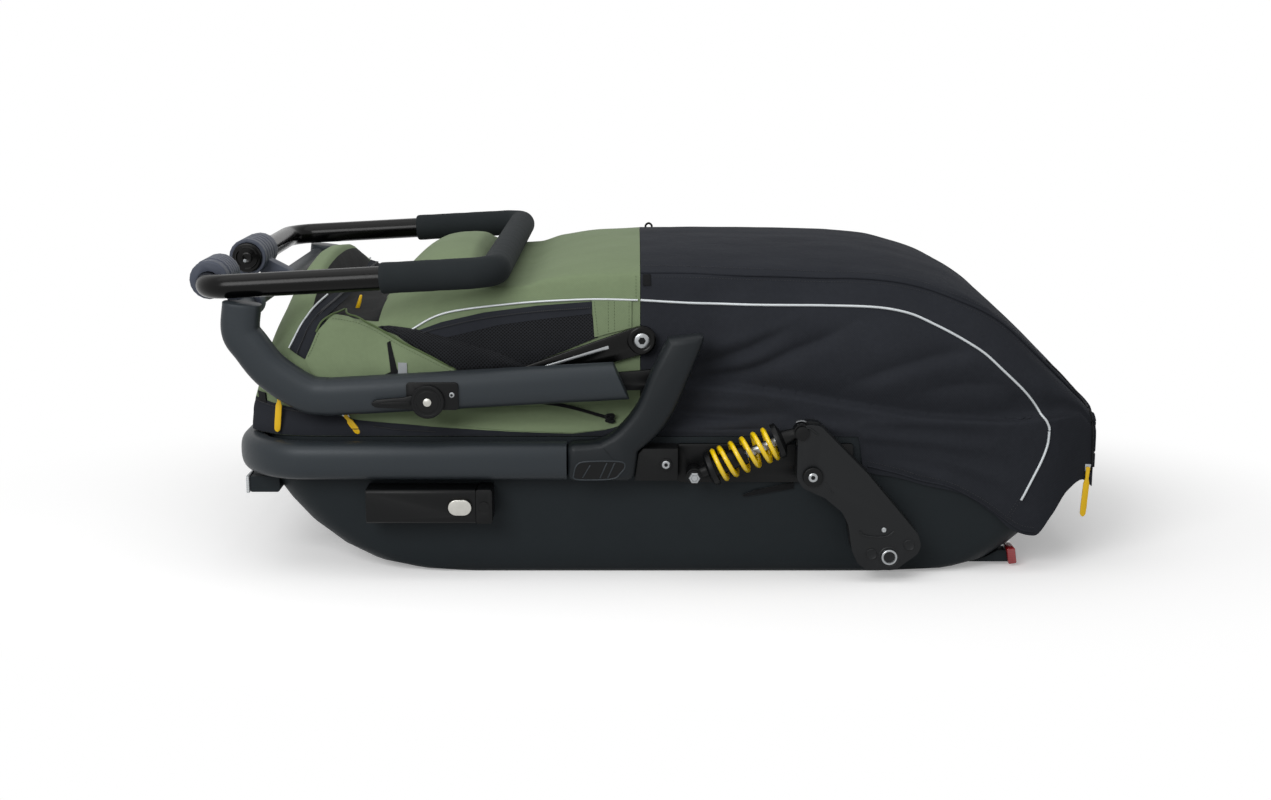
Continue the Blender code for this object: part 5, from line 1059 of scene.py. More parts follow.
# x, then half widths at hem, waist and edge, then heights of hem, edge and crown
FRONT_TABLE = (
    (-0.0095, HEM, WAIST, EDGE, HEM_Z, 0.3505, 0.3700),
    (-0.0600, HEM, WAIST, EDGE, HEM_Z, 0.3500, 0.3655),
    (-0.1150, HEM, WAIST, EDGE, HEM_Z, 0.3455, 0.3525),
    (-0.1480, HEM, WAIST, EDGE, HEM_Z, 0.3370, 0.3392),
    (-0.1900, HEM, WAIST, EDGE, HEM_Z, 0.3345, 0.3395),
    (-0.2010, HEM, 0.2445, EDGE, HEM_Z, 0.3320, 0.3560),
    (-0.2150, HEM, 0.2460, EDGE, HEM_Z, 0.3270, 0.3680),
    (-0.2350, HEM, 0.2480, EDGE, HEM_Z, 0.3190, 0.3700),
    (-0.2550, HEM, 0.2500, EDGE, HEM_Z, 0.3090, 0.3670),
    (-0.2750, HEM, 0.2530, EDGE, HEM_Z, 0.2990, 0.3580),
    (-0.2950, HEM, 0.2555, EDGE, HEM_Z, 0.2910, 0.3420),
    (-0.3120, HEM, 0.2565, EDGE, HEM_Z, 0.2900, 0.3210),
    (-0.3300, HEM, 0.2575, EDGE, HEM_Z, 0.2940, 0.3020),
    (-0.3560, HEM, 0.2580, 0.2310, HEM_Z, 0.2980, 0.3005),
    (-0.3760, HEM, 0.2580, 0.2290, HEM_Z, 0.3010, 0.3130),
    (-0.3880, 0.2605, 0.2575, 0.2270, HEM_Z, 0.3010, 0.3390),
    (-0.3990, 0.2595, 0.2560, 0.2250, HEM_Z, 0.3000, 0.3530),
    (-0.4100, 0.2580, 0.2540, 0.2220, HEM_Z, 0.2930, 0.3530),
    (-0.4220, 0.2550, 0.2500, 0.2180, HEM_Z, 0.2830, 0.3410),
    (-0.4340, 0.2495, 0.2440, 0.2110, HEM_Z, 0.2700, 0.3210),
    (-0.4450, 0.2420, 0.2350, 0.2040, HEM_Z, 0.2560, 0.2970),
    (-0.4560, 0.2330, 0.2250, 0.1930, HEM_Z, 0.2360, 0.2660),
    (-0.4640, 0.2250, 0.2160, 0.1850, HEM_Z, 0.2140, 0.2330),
    (-0.4675, 0.2180, 0.2090, 0.1800, HEM_Z, 0.1990, 0.2090),
)
REAR_TABLE = (
    (-0.0085, HEM, WAIST, EDGE, HEM_Z, 0.3505, 0.3700),
    (0.0700, HEM, WAIST, EDGE, HEM_Z, 0.3500, 0.3715),
    (0.1200, HEM, 0.2540, EDGE, HEM_Z, 0.3490, 0.3715),
    (0.1950, 0.2625, 0.2585, EDGE, HEM_Z, 0.3475, 0.3705),
    (0.2380, 0.2640, 0.2600, EDGE, HEM_Z, 0.3460, 0.3690),
    (0.2450, 0.2643, 0.2603, EDGE, HEM_Z, 0.3456, 0.3685),
    (0.2500, 0.2646, 0.2605, EDGE, 0.1260, 0.3452, 0.3680),
    (0.2900, SKIRT, 0.2625, EDGE, 0.1170, 0.3425, 0.3635),
    (0.3225, SKIRT, 0.2630, EDGE, 0.1080, 0.3365, 0.3550),
    (0.3640, SKIRT, 0.2630, 0.2300, 0.0980, 0.3245, 0.3410),
    (0.4020, SKIRT, 0.2620, 0.2270, 0.0750, 0.3030, 0.3185),
    (0.4300, SKIRT, 0.2600, 0.2230, 0.0520, 0.2800, 0.2940),
    (0.4540, 0.2630, 0.2560, 0.2180, 0.0460, 0.2590, 0.2710),
    (0.4750, 0.2560, 0.2480, 0.2130, 0.0690, 0.2385, 0.2500),
    (0.4950, 0.2430, 0.2370, 0.2060, 0.0950, 0.2200, 0.2300),
    (0.5150, 0.2280, 0.2230, 0.1980, 0.1050, 0.2000, 0.2090),
    (0.5315, 0.2140, 0.2100, 0.1900, 0.0930, 0.1830, 0.1910),
)
print("stations:", len(FRONT_TABLE), "in front and", len(REAR_TABLE), "behind")


# %% Smooth sections between the stations
# points from one corner of a section to the next, and the rows of the skirt, the side and the top
LINE_STEPS, SKIRT_ROWS, SIDE_ROWS, TOP_ROWS = 6, 16, 64, 32
KNEE_POINT, TURN_POINT = LINE_STEPS, 5 * LINE_STEPS + 3


def monotone(xs, ys, x):
    """A cubic through the values that never overshoots them."""
    xs, ys = np.asarray(xs, float), np.asarray(ys, float)
    if xs[0] > xs[-1]:
        xs, ys = xs[::-1], ys[::-1]
    step, rise = np.diff(xs), np.diff(ys) / np.diff(xs)
    slope = np.zeros(len(xs))
    for k in range(1, len(xs) - 1):
        if rise[k - 1] * rise[k] > 0:
            w1, w2 = 2 * step[k] + step[k - 1], step[k] + 2 * step[k - 1]
            slope[k] = (w1 + w2) / (w1 / rise[k - 1] + w2 / rise[k])
    slope[0], slope[-1] = rise[0], rise[-1]
    k = np.clip(np.searchsorted(xs, x) - 1, 0, len(xs) - 2)
    t = np.clip((np.asarray(x) - xs[k]) / step[k], 0, 1)
    return ((2 * t ** 3 - 3 * t ** 2 + 1) * ys[k] + (t ** 3 - 2 * t ** 2 + t) * step[k] * slope[k]
            + (3 * t ** 2 - 2 * t ** 3) * ys[k + 1] + (t ** 3 - t ** 2) * step[k] * slope[k + 1])


def half_line(hem, waist, edge, hem_z, edge_z, crown_z):
    """The left half of a section from the hem to the crown, as smooth (half width, height) points."""
    rise = max(crown_z - edge_z, 0.002)
    knee = min(KNEE_Z, edge_z - 0.030)
    belt = knee + min(BELT, 0.4 * (edge_z - knee))
    corners = ((hem, hem_z), (hem, knee), (waist, belt), (waist, belt + 0.45 * (edge_z - belt)),
               (edge + 0.55 * (waist - edge), edge_z - 0.22 * (edge_z - belt)), (edge, edge_z - 0.004),
               (edge - 0.010, edge_z + 0.15 * rise), (0.80 * edge, edge_z + 0.48 * rise),
               (0.50 * edge, edge_z + 0.84 * rise), (0.20 * edge, edge_z + 0.98 * rise), (0.0, crown_z))
    return smooth_line(corners, LINE_STEPS)


def cover_grid(table, columns):
    """Points of one cover as [column][row]: left hem up to the crown and down to the right hem."""
    xs = [row[0] for row in table]
    grid = []
    for x in columns:
        line = half_line(*[monotone(xs, [row[k] for row in table], x) for k in range(1, 7)])
        halves = []
        for part, count in ((line[:KNEE_POINT + 1], SKIRT_ROWS),
                            (line[KNEE_POINT:TURN_POINT + 1], SIDE_ROWS), (line[TURN_POINT:], TOP_ROWS)):
            far = np.concatenate([[0], np.cumsum(np.linalg.norm(np.diff(part, axis=0), axis=1))])
            even = np.linspace(0, far[-1], count)
            halves.append(np.column_stack([np.interp(even, far, part[:, k]) for k in (0, 1)]))
        half = np.vstack([halves[0], halves[1][1:], halves[2][1:]])
        left = [(x, -y, z) for y, z in half]
        right = [(x, y, z) for y, z in half[-2::-1]]
        grid.append(left + right)
    return np.array(grid)


def grid_normals(grid):
    """The direction square to the cloth at each point of a grid, turned outwards."""
    along, around = np.gradient(grid, axis=0), np.gradient(grid, axis=1)
    normals = np.cross(around, along)
    normals /= np.maximum(np.linalg.norm(normals, axis=2), 1e-9)[..., None]
    if normals[len(grid) // 2, grid.shape[1] // 2, 2] < 0:
        normals = -normals
    return normals


print("a section has", len(half_line(*FRONT_TABLE[0][1:])), "points from hem to crown")

# %% [markdown]
# ## Folds
# With the hoop down, the cloth is too long for the shortened body and lies in folds that fan out from the
# hinge. Each fold is a line with a depth and a width. A ridge stands out, a valley goes in, and a pleat lies
# over the cloth above it, so its upper side drops off sharply and casts the dark lines of the photograph.

# %% Fold lines
RIDGE, VALLEY, PLEAT = "ridge", "valley", "pleat"
# kind, depth mm, width mm, then (x, z) in mm
REAR_FOLDS = (
    (PLEAT, 8.5, 13, (30, 219), (107, 217), (166, 210), (225, 200), (314, 187), (380, 183), (425, 181),
     (462, 183)),
    (RIDGE, 2.9, 9, (44, 252), (103, 273), (150, 289), (201, 313)),
    (VALLEY, 6.8, 9, (40, 238), (103, 262), (179, 300)),
    (VALLEY, 7.6, 9, (46, 226), (121, 243), (165, 264), (209, 283), (240, 300)),
    (RIDGE, 2.1, 8, (60, 231), (120, 251), (170, 279)),
    (RIDGE, 2.1, 13, (236, 212), (313, 241), (405, 259)),
    (VALLEY, 5.2, 10, (225, 222), (280, 244), (340, 262), (390, 268)),
    (VALLEY, 3.6, 10, (300, 214), (360, 226), (430, 226)),
    (RIDGE, 2.3, 8, (176, 191), (225, 169), (314, 158), (426, 146)),
    (VALLEY, 5.2, 7, (180, 181), (225, 158), (310, 149), (420, 134)),
    (RIDGE, 2.3, 6, (214, 163), (262, 152), (315, 145), (390, 121), (439, 96)),
    (VALLEY, 5.2, 6, (216, 154), (268, 143), (330, 131), (395, 106), (440, 84)),
    (RIDGE, 2.3, 6, (226, 146), (278, 139), (353, 111), (426, 73)),
    (VALLEY, 3.6, 6, (260, 176), (330, 172), (420, 166)),
    (PLEAT, 5.1, 7, (20, 186), (60, 183), (107, 182), (151, 186)),
    (RIDGE, 2.1, 5, (30, 198), (80, 196), (140, 199)),
    (VALLEY, 3.6, 5, (30, 174), (90, 173), (160, 176)),
    (VALLEY, 3.6, 20, (40, 333), (150, 331), (250, 324)),
    (VALLEY, 4.8, 12, (395, 235), (430, 205), (452, 165)),
)
FRONT_FOLDS = (
    (VALLEY, 3.6, 8, (-60, 262), (-120, 244), (-170, 232)),
    (RIDGE, 1.6, 9, (-70, 248), (-130, 232), (-190, 224)),
    (VALLEY, 3.4, 7, (-300, 292), (-262, 268), (-232, 246)),
    (RIDGE, 1.6, 10, (-330, 262), (-300, 246), (-270, 236)),
    (VALLEY, 3.4, 7, (-345, 244), (-318, 232), (-285, 222)),
    (VALLEY, 3.0, 6, (-352, 268), (-338, 262), (-318, 240)),
    (VALLEY, 2.8, 6, (-368, 252), (-352, 236), (-330, 226)),
    (VALLEY, 2.2, 8, (-110, 184), (-160, 184), (-220, 186)),
    (VALLEY, 3.2, 8, (-372, 290), (-386, 262), (-398, 240)),
    (VALLEY, 1.6, 14, (-90, 338), (-150, 329), (-200, 318)),
    (VALLEY, 2.8, 6, (-420, 196), (-360, 186), (-300, 180)),
    (RIDGE, 1.6, 7, (-400, 184), (-340, 175), (-280, 172)),
    (VALLEY, 2.8, 8, (-452, 250), (-440, 225), (-430, 200)),
)
print("folds:", len(FRONT_FOLDS), "in front and", len(REAR_FOLDS), "behind")


# %% Height of the folds
# how far from its ends a fold fades, how much of it is left there, and how wide a pleat's sharp side is
END_FADE, END_SHARE, PLEAT_DROP = 0.045, 0.25, 0.0060


def smooth_step(t):
    """0 to 1 with a soft start and end."""
    t = np.clip(t, 0, 1)
    return t * t * (3 - 2 * t)


def fold_heights(x, z, folds):
    """The summed height of the folds in metres over flattened side points."""
    height = np.zeros_like(x)
    for kind, depth_mm, width_mm, *line in folds:
        line = smooth_line(np.array(line, float) / 1000.0, 5)
        depth, width = depth_mm / 1000.0, width_mm / 1000.0
        best = np.full(x.shape, 1e9)
        signed = np.zeros_like(x)
        for (x0, z0), (x1, z1) in zip(line, line[1:]):
            dx, dz = x1 - x0, z1 - z0
            t = np.clip(((x - x0) * dx + (z - z0) * dz) / (dx * dx + dz * dz), 0, 1)
            off_x, off_z = x - x0 - t * dx, z - z0 - t * dz
            away = np.hypot(off_x, off_z)
            up = 1.0 if dx > 0 else -1.0
            side_sign = np.sign(dx * off_z - dz * off_x) * up
            closer = away < best
            best = np.where(closer, away, best)
            signed = np.where(closer, side_sign * away, signed)
        ends = np.minimum(np.hypot(x - line[0][0], z - line[0][1]), np.hypot(x - line[-1][0], z - line[-1][1]))
        taper = np.clip(ends / END_FADE, END_SHARE, 1.0)
        if kind == RIDGE:
            height += depth * taper * np.exp(-(best / width) ** 2)
        elif kind == VALLEY:
            height -= depth * taper * np.exp(-(best / width) ** 1.3)
        else:
            fade = np.exp(-(np.clip(signed, 0, None) / (1.6 * width)) ** 2)
            above = smooth_step(signed / PLEAT_DROP)
            below = np.exp(-(np.clip(-signed, 0, None) / (1.4 * width)) ** 2)
            height += np.where(signed > 0, (0.30 - 1.30 * above) * depth * fade, 0.30 * depth * below) * taper
    return height


def slow_waves(a, b, seed, count=7, low=0.05, high=0.22):
    """Soft unevenness of cloth: a few long waves with fixed seeds, between -1 and 1."""
    rng = np.random.default_rng(seed)
    total = np.zeros_like(a)
    for _ in range(count):
        length, angle, phase = rng.uniform(low, high), rng.uniform(0, math.pi), rng.uniform(0, 2 * math.pi)
        total += np.sin(2 * math.pi * (a * math.cos(angle) + b * math.sin(angle)) / length + phase)
    return total / count


print("waves in a metre of cloth:", np.round(slow_waves(np.array((0.0, 0.5, 1.0)), np.zeros(3), 11), 2))

# %% [markdown]
# ## The two covers
# A cover is its grid with the folds in it. It also answers where its side is at any x and height, so that zips
# and patches can be laid on it. The folds may stand out only as far as the frame and the arms leave room.

# %% Covers with their folds
# the side begins at this half width, and the far side's folds are a little moved and softer than the near ones
SIDE_FROM, SIDE_BLEND, FAR_SHIFT, FAR_GAIN = 0.205, 0.02, 0.006, 0.9
HEM_FREE, SHALLOW, DEEP = 0.012, -0.0011, -0.0120


class Cover:
    """One cover: its grid with the folds in it, and a way to find points of its side by x and z."""

    def __init__(self, table, columns, folds, seed, most_out):
        base = cover_grid(table, columns)
        normals = grid_normals(base)
        self.middle = base.shape[1] // 2
        self.columns = np.asarray(columns)
        self.heights = base[:, :self.middle + 1, 2]
        x, y, z = base[..., 0], base[..., 1], base[..., 2]
        steep = np.clip((np.abs(y) - SIDE_FROM) / SIDE_BLEND, 0, 1)
        lift = np.zeros_like(x)
        for side_sign, shift, gain in ((LEFT, 0.0, 1.0), (RIGHT, FAR_SHIFT, FAR_GAIN)):
            here = (np.sign(y) == side_sign)
            lift += np.where(here, gain * steep * fold_heights(x + shift, z - shift, folds), 0.0)
        lift += 0.0011 * slow_waves(x, y, seed) * (1 - 0.4 * steep)
        lift += 0.0008 * slow_waves(x, z + np.sign(y) * 0.3, seed + 1, low=0.03, high=0.12) * steep
        hem = np.clip((z - base[:, :1, 2]) / HEM_FREE, 0, 1)
        lowest = np.where((x > 0.23) & (z < 0.172), SHALLOW, DEEP)
        self.lift = np.clip(lift, lowest, most_out(x, z)) * (0.15 + 0.85 * hem)
        self.unfolded = base
        self.grid = base + normals * self.lift[..., None]
        self.normals = grid_normals(self.grid)

    def at(self, x, z, side, out=0.0):
        """The point of the cover's side at x and z, moved out along the cloth's own normal."""
        place_x = np.interp(x, self.columns, np.arange(len(self.columns)))
        low = int(min(place_x, len(self.columns) - 2))
        share = place_x - low
        point = np.zeros(3)
        for column, weight in ((low, 1 - share), (low + 1, share)):
            row = np.interp(z, self.heights[column], np.arange(self.middle + 1))
            if side == RIGHT:
                row = 2 * self.middle - row
            first = int(min(row, 2 * self.middle - 1))
            part = row - first
            spot = self.grid[column, first] * (1 - part) + self.grid[column, first + 1] * part
            normal = self.normals[column, first] * (1 - part) + self.normals[column, first + 1] * part
            point += weight * (spot + normal / np.linalg.norm(normal) * out)
        return point

    def line(self, outline_mm, side, out_mm, steps=8):
        """A smooth line on the cover's side through (x, z) points in mm."""
        path = smooth_line(np.array(outline_mm, float) / 1000.0, steps)
        return np.array([self.at(x, z, side, out_mm / 1000.0) for x, z in path])


def columns_between(start, end, spacing):
    """Evenly spaced places along the trailer."""
    return np.linspace(start, end, int(round(abs(end - start) / spacing)) + 1)


def front_room(x, z):
    """How far folds may stand out of the front cover."""
    return np.where(x < -0.44, 0.0005, 0.0016)


def rear_room(x, z):
    """Behind the suspension the rear cover may bulge, but at the posts and the swingarm it stays in."""
    return np.where(x < 0.07, 0.0012, np.where(x < 0.28, 0.0022, 0.0040)) * np.where(z > 0.36, 0.4, 1.0)


front = Cover(FRONT_TABLE, columns_between(-0.4675, -0.0092, 0.0030), FRONT_FOLDS, 11, front_room)
rear = Cover(REAR_TABLE, columns_between(-0.0088, 0.5315, 0.0029), REAR_FOLDS, 23, rear_room)
print("front grid", front.grid.shape, "rear grid", rear.grid.shape)

# %% [markdown]
# ## Cover skins
# A grid becomes a sheet with the thickness of coated cloth. The rear cover closes at its end with a flat
# panel, and a second panel below holds the tub's tail. The nose's lower band is black cloth with a straight
# seam above it, so the sheet is cut along that seam before its faces are given their cloth.

# %% Making a sheet of cloth
SKIN_SHARP_DEG, PATCH_SHARP_DEG = 70.0, 60.0
SEWN_TOGETHER = 1e-5


def thickened(obj, thick_mm, sharp_deg, offset=-1.0):
    """Gives a sheet its thickness: inwards from the drawn face, or half to each side at offset 0."""
    thick = obj.modifiers.new("cloth_thickness", "SOLIDIFY")
    thick.thickness = thick_mm / 1000.0
    thick.offset = offset
    return settled(obj, sharp_deg)


def quads(columns, rows):
    """The faces between the points of a grid."""
    return [(i * rows + j, (i + 1) * rows + j, (i + 1) * rows + j + 1, i * rows + j + 1)
            for i in range(columns - 1) for j in range(rows - 1)]


def grid_sheet(grid):
    """A grid as points and faces, turned so that they face outwards."""
    points, faces = grid.reshape(-1, 3), quads(*grid.shape[:2])
    a, b, c = (points[k] for k in faces[len(faces) // 2][:3])
    flip = np.cross(b - a, c - a)[2] < 0
    return points, [tuple(reversed(f)) for f in faces] if flip else faces


def end_panel(edge, rings=4, shrink=0.98):
    """Closes the end of a cover with a flat panel sewn on along its edge."""
    centre, count = edge.mean(axis=0), len(edge)
    panel = np.array([edge + (centre - edge) * (k / rings) * shrink for k in range(rings + 1)])
    bottom = [(i * count, i * count + count - 1, (i + 1) * count + count - 1, (i + 1) * count)
              for i in range(rings)]
    middle = tuple(range(rings * count, (rings + 1) * count))
    return panel.reshape(-1, 3), [*quads(rings + 1, count), *bottom, middle]


def joined_sheets(name, parts, material, thick_mm, seams=()):
    """Sheets sewn into one skin. A seam is a point and a direction, and the skin is cut square to it."""
    points, faces = [], []
    for part_points, part_faces in parts:
        faces += [tuple(k + len(points) for k in face) for face in part_faces]
        points += [tuple(p) for p in part_points]
    obj = mesh_object(name, points, faces, material, SKIN_SHARP_DEG)
    with edited(obj.data) as shape:
        bmesh.ops.remove_doubles(shape, verts=shape.verts, dist=SEWN_TOGETHER)
        for point, normal in seams:
            bmesh.ops.bisect_plane(shape, geom=shape.verts[:] + shape.edges[:] + shape.faces[:],
                                   dist=SAME_POINT, plane_co=point, plane_no=normal)
        bmesh.ops.recalc_face_normals(shape, faces=shape.faces)
        if max(shape.faces, key=lambda f: f.calc_center_median().z).normal.z < 0:
            bmesh.ops.reverse_faces(shape, faces=shape.faces)
    return thickened(obj, thick_mm, SKIN_SHARP_DEG)


print("an end panel has", len(end_panel(front.grid[0])[1]), "faces")

# %% Front cover skin
FRONT_THICK_MM, REAR_THICK_MM = 1.2, 1.3
NOSE_SEAM_X, NOSE_SEAM_Z = -0.4630, 0.2040
# the faces drawn near black in the valley behind the nose: x from and to, y from and to, and its lowest height
VALLEY_X, VALLEY_Y, VALLEY_LOW = (-0.3925, -0.316), (-0.222, 0.165), 0.27
front_skin = joined_sheets("front_cover_skin", [grid_sheet(front.grid), end_panel(front.grid[0])], GREEN_CLOTH,
                           FRONT_THICK_MM, seams=(((NOSE_SEAM_X, 0.0, 0.0), (1.0, 0.0, 0.0)),
                                                  ((0.0, 0.0, NOSE_SEAM_Z), (0.0, 0.0, 1.0))))
front_skin.data.materials.append(VALLEY_BLACK_CLOTH)
front_skin.data.materials.append(BLACK_CLOTH)
for face in front_skin.data.polygons:
    x, y, z = face.center
    if VALLEY_X[0] < x < VALLEY_X[1] and VALLEY_Y[0] < y < VALLEY_Y[1] and z > VALLEY_LOW:
        face.material_index = 1
    elif x < NOSE_SEAM_X and z < NOSE_SEAM_Z:
        face.material_index = 2
print("triangles in front", sum(len(p.vertices) - 2 for p in front_skin.data.polygons))

# %% Rear cover skin
UNDER_FROM, UNDER_SAG, UNDER_ROWS = 0.479, 0.003, 17
under = []
for column in range(int(np.searchsorted(rear.columns, UNDER_FROM)), len(rear.columns)):
    low, high = rear.grid[column, 0], rear.grid[column, -1]
    under.append([low + (high - low) * t - np.array((0, 0, UNDER_SAG * math.sin(math.pi * t)))
                  for t in np.linspace(0, 1, UNDER_ROWS)])
rear_skin = joined_sheets("rear_cover_skin", [grid_sheet(rear.grid), end_panel(rear.grid[-1]),
                                              grid_sheet(np.array(under))], BLACK_CLOTH, REAR_THICK_MM)
place(rear_skin, "base", "black_fabric", "rear_cover")
print("triangles behind", sum(len(p.vertices) - 2 for p in rear_skin.data.polygons))

# %% [markdown]
# A sheet is declared by the cloth that was cut for it. Its girth round the widest section, its length along
# the crown and its area are measured on the cover before its folds.


# %% [markdown]
# ## What is sewn onto the covers
# The mesh windows, zips, bands and patches are their own pieces of cloth on top of the cover. Each is cut as a
# flat outline in side view and laid on the cover's surface.

# %% Laying a patch of cloth on a cover
OUTLINE_STEP, GRID_STEP, RIM_ROOM, BULGE_RIM = 0.005, 0.0042, 0.0022, 0.010
SUNK_MM = 0.25


def inside(point, outline):
    """Whether a point lies inside a closed outline."""
    x, z = point
    found = False
    for (x0, z0), (x1, z1) in zip(outline, np.vstack([outline[1:], outline[:1]])):
        if (z0 > z) != (z1 > z) and x < (x1 - x0) * (z - z0) / (z1 - z0) + x0:
            found = not found
    return found


def patch(name, cover, outline_mm, side, material, thick_mm=0.8, out_mm=0.5, bulge_mm=0.0):
    """A piece of cloth laid on a cover's side, with a thickness and, if padded, a soft bulge."""
    sharp = np.array(outline_mm, float) / 1000.0
    corners = []
    for p, q in zip(sharp, np.vstack([sharp[1:], sharp[:1]])):
        steps = max(1, int(np.linalg.norm(q - p) / OUTLINE_STEP))
        corners += [p + (q - p) * k / steps for k in range(steps)]
    outline = np.array(corners)

    def from_rim(spot):
        """How far a spot lies from the edge of the cloth."""
        return np.min(np.linalg.norm(outline - spot, axis=1))

    low, high = outline.min(axis=0), outline.max(axis=0)
    inner = [(x, z) for x in np.arange(low[0], high[0], GRID_STEP) for z in np.arange(low[1], high[1], GRID_STEP)
             if inside((x, z), outline) and from_rim((x, z)) > RIM_ROOM]
    flat, _, faces, *_ = delaunay_2d_cdt([Vector(p) for p in (*outline, *inner)], [],
                                         [list(range(len(outline)))], 1, 1e-6)
    points = []
    for p in flat:
        share = min(1.0, from_rim((p[0], p[1])) / BULGE_RIM)
        rise = bulge_mm / 1000.0 * math.sqrt(max(0.0, 1 - (1 - share) ** 2))
        points.append(cover.at(p[0], p[1], side, (out_mm + thick_mm) / 1000.0 + rise))
    obj = mesh_object(name, points, faces, material, PATCH_SHARP_DEG)
    with edited(obj.data) as shape:
        bmesh.ops.recalc_face_normals(shape, faces=shape.faces)
        if sum(f.normal.y * f.calc_area() for f in shape.faces) * side < 0:
            bmesh.ops.reverse_faces(shape, faces=shape.faces)
    return thickened(obj, thick_mm + SUNK_MM, PATCH_SHARP_DEG)


print("cloth is laid with a point every", GRID_STEP * 1000.0, "mm")


# %% Piping, stitches and zip teeth along a line
def piping(name, path, radius_mm, material):
    """A cord under a strip of cloth, sewn along an edge."""
    return swept(name, path, round_section(radius_mm / 1000.0, 10), material, up=UPWARDS)


def stitched(name, path, material, spacing_mm=3.4, length_mm=2.4, width_mm=0.7):
    """A row of stitches."""
    return run_tree(line_object(name, path), STITCHES, material, Spacing=spacing_mm / 1000.0,
                    Length=length_mm / 1000.0, Width=width_mm / 1000.0, Height=0.0006)


def toothed(name, path, material, spacing_mm=2.2, width_mm=3.4):
    """The teeth of a closed zip."""
    return run_tree(line_object(name, path), TEETH, material, Spacing=spacing_mm / 1000.0, Length=0.0013,
                    Width=width_mm / 1000.0, Height=0.0012)


def higher(line_mm, up_mm):
    """The same line, a little higher."""
    return tuple((x, z + up_mm) for x, z in line_mm)


def on_front(obj, slot, *nodes):
    """A piece of the front cover: its place is baked into its mesh, and the solids that it stands for are hidden."""
    if nodes:
        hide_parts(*nodes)
    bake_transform(obj)


on_front(front_skin, "green_fabric", "front_cover")

# %% Cloth pieces of the front cover
BAND = ((-269, 285), (-239, 296), (-191, 307), (-128, 315), (-65, 320), (-65, 306), (-120, 300), (-172, 293),
        (-224, 281), (-250, 276))
WINDOW = ((-250, 276), (-224, 281), (-172, 293), (-120, 300), (-65, 306), (-58, 279), (-100, 262), (-144, 245),
          (-218, 258))
ROLL = ((-318, 288), (-302, 290), (-268, 287), (-221, 276), (-173, 261), (-136, 243), (-221, 238), (-262, 262),
        (-292, 280))
POCKET_FLAP = ((-368, 300), (-350, 297), (-330, 292), (-283, 271), (-219, 241), (-240, 226), (-322, 201),
               (-372, 214), (-396, 254), (-383, 284))
NOSE_BAND = ((-383, 315), (-366, 312), (-381, 284), (-395, 254), (-415, 264), (-401, 294))
LOWER_BAND = ((-466, 205), (-430, 200), (-380, 195), (-336, 184), (-247, 176), (-160, 171), (-88, 168.6),
              (-50, 173), (-28, 178), (-28, 166.3), (-300, 166.3), (-466, 166.3))
SEAM_PATCH = ((-65, 323), (-19, 321.5), (-19, 290), (-62, 279))
GREEN_LOWER = ((-221, 199), (-51, 203), (-44, 174.5), (-88, 170), (-160, 172.5), (-221, 177))
# outline, cloth, slot, then thickness, height above the cover and bulge in mm
FRONT_CLOTHS = {
    "mesh_window": (WINDOW, BLACK_NET, "black_fabric", 0.8, 0.5, 0.0),
    "window_zip_band": (BAND, BLACK_CLOTH, "black_fabric", 1.2, 0.5, 0.0),
    "rolled_mesh": (ROLL, BLACK_NET, "black_fabric", 1.2, 1.0, 4.5),
    "side_pocket": (POCKET_FLAP, GREEN_CLOTH, "green_fabric", 1.4, 2.0, 1.4),
    "nose_zip_band": (NOSE_BAND, BLACK_CLOTH, "black_fabric", 1.2, 0.6, 1.6),
    "lower_band": (LOWER_BAND, BLACK_CLOTH, "black_fabric", 1.0, 0.5, 0.0),
    "seam_patch": (SEAM_PATCH, GREEN_CLOTH, "green_fabric", 1.0, 0.9, 0.0),
    "lower_green_panel": (GREEN_LOWER, GREEN_CLOTH, "green_fabric", 0.6, 0.3, 0.0),
}
for side, label in SIDES:
    for name, (outline, cloth, slot, *heights) in FRONT_CLOTHS.items():
        on_front(patch(f"{name}_{label}", front, outline, side, cloth, *heights), slot)
print(len(FRONT_CLOTHS), "pieces of cloth on each side")

# %% Piping of the front cover
# line, height above the cover and radius in mm, material and slot
FRONT_PIPINGS = {
    "silver_piping_front": (((-276, 285), (-246, 302), (-209, 311), (-135, 319), (-65, 322.5), (-12, 321.5)),
                            1.5, 1.25, PIPING, "grey_plastic"),
    "pocket_binding": (((-384, 283), (-378, 294), (-366, 300), (-349, 297.5), (-330, 292.5), (-283, 271.5),
                        (-221, 242)), 4.2, 1.2, GREEN_TAPE, "green_fabric"),
    "silver_piping_nose": (((-384, 317), (-393, 306), (-402, 292), (-416, 265)), 2.0, 1.2, PIPING,
                           "grey_plastic"),
}
for side, label in SIDES:
    for name, (line, out_mm, radius_mm, material, slot) in FRONT_PIPINGS.items():
        on_front(piping(f"{name}_{label}", front.line(line, side, out_mm), radius_mm, material), slot)
print(len(FRONT_PIPINGS), "pipings on each side")

# %% Stitching and zips of the front cover
# height above the cover in mm, then the line
GREEN_STITCHES = (
    (5.0, (-366, 296), (-349, 293), (-330, 288), (-283, 267), (-224, 238.5)),
    (2.1, (-62, 319), (-60, 300), (-58, 283)),
    (2.1, (-22, 318), (-22, 293)),
    (2.1, (-46, 319), (-46, 300), (-46, 286)),
    (2.1, (-39, 319), (-39, 300), (-39, 288)),
    (1.8, (-218, 195), (-140, 197), (-54, 199)),
    (5.0, (-381, 281), (-392, 258)),
    (0.6, (-14, 348), (-14, 335), (-14, 326)),
)
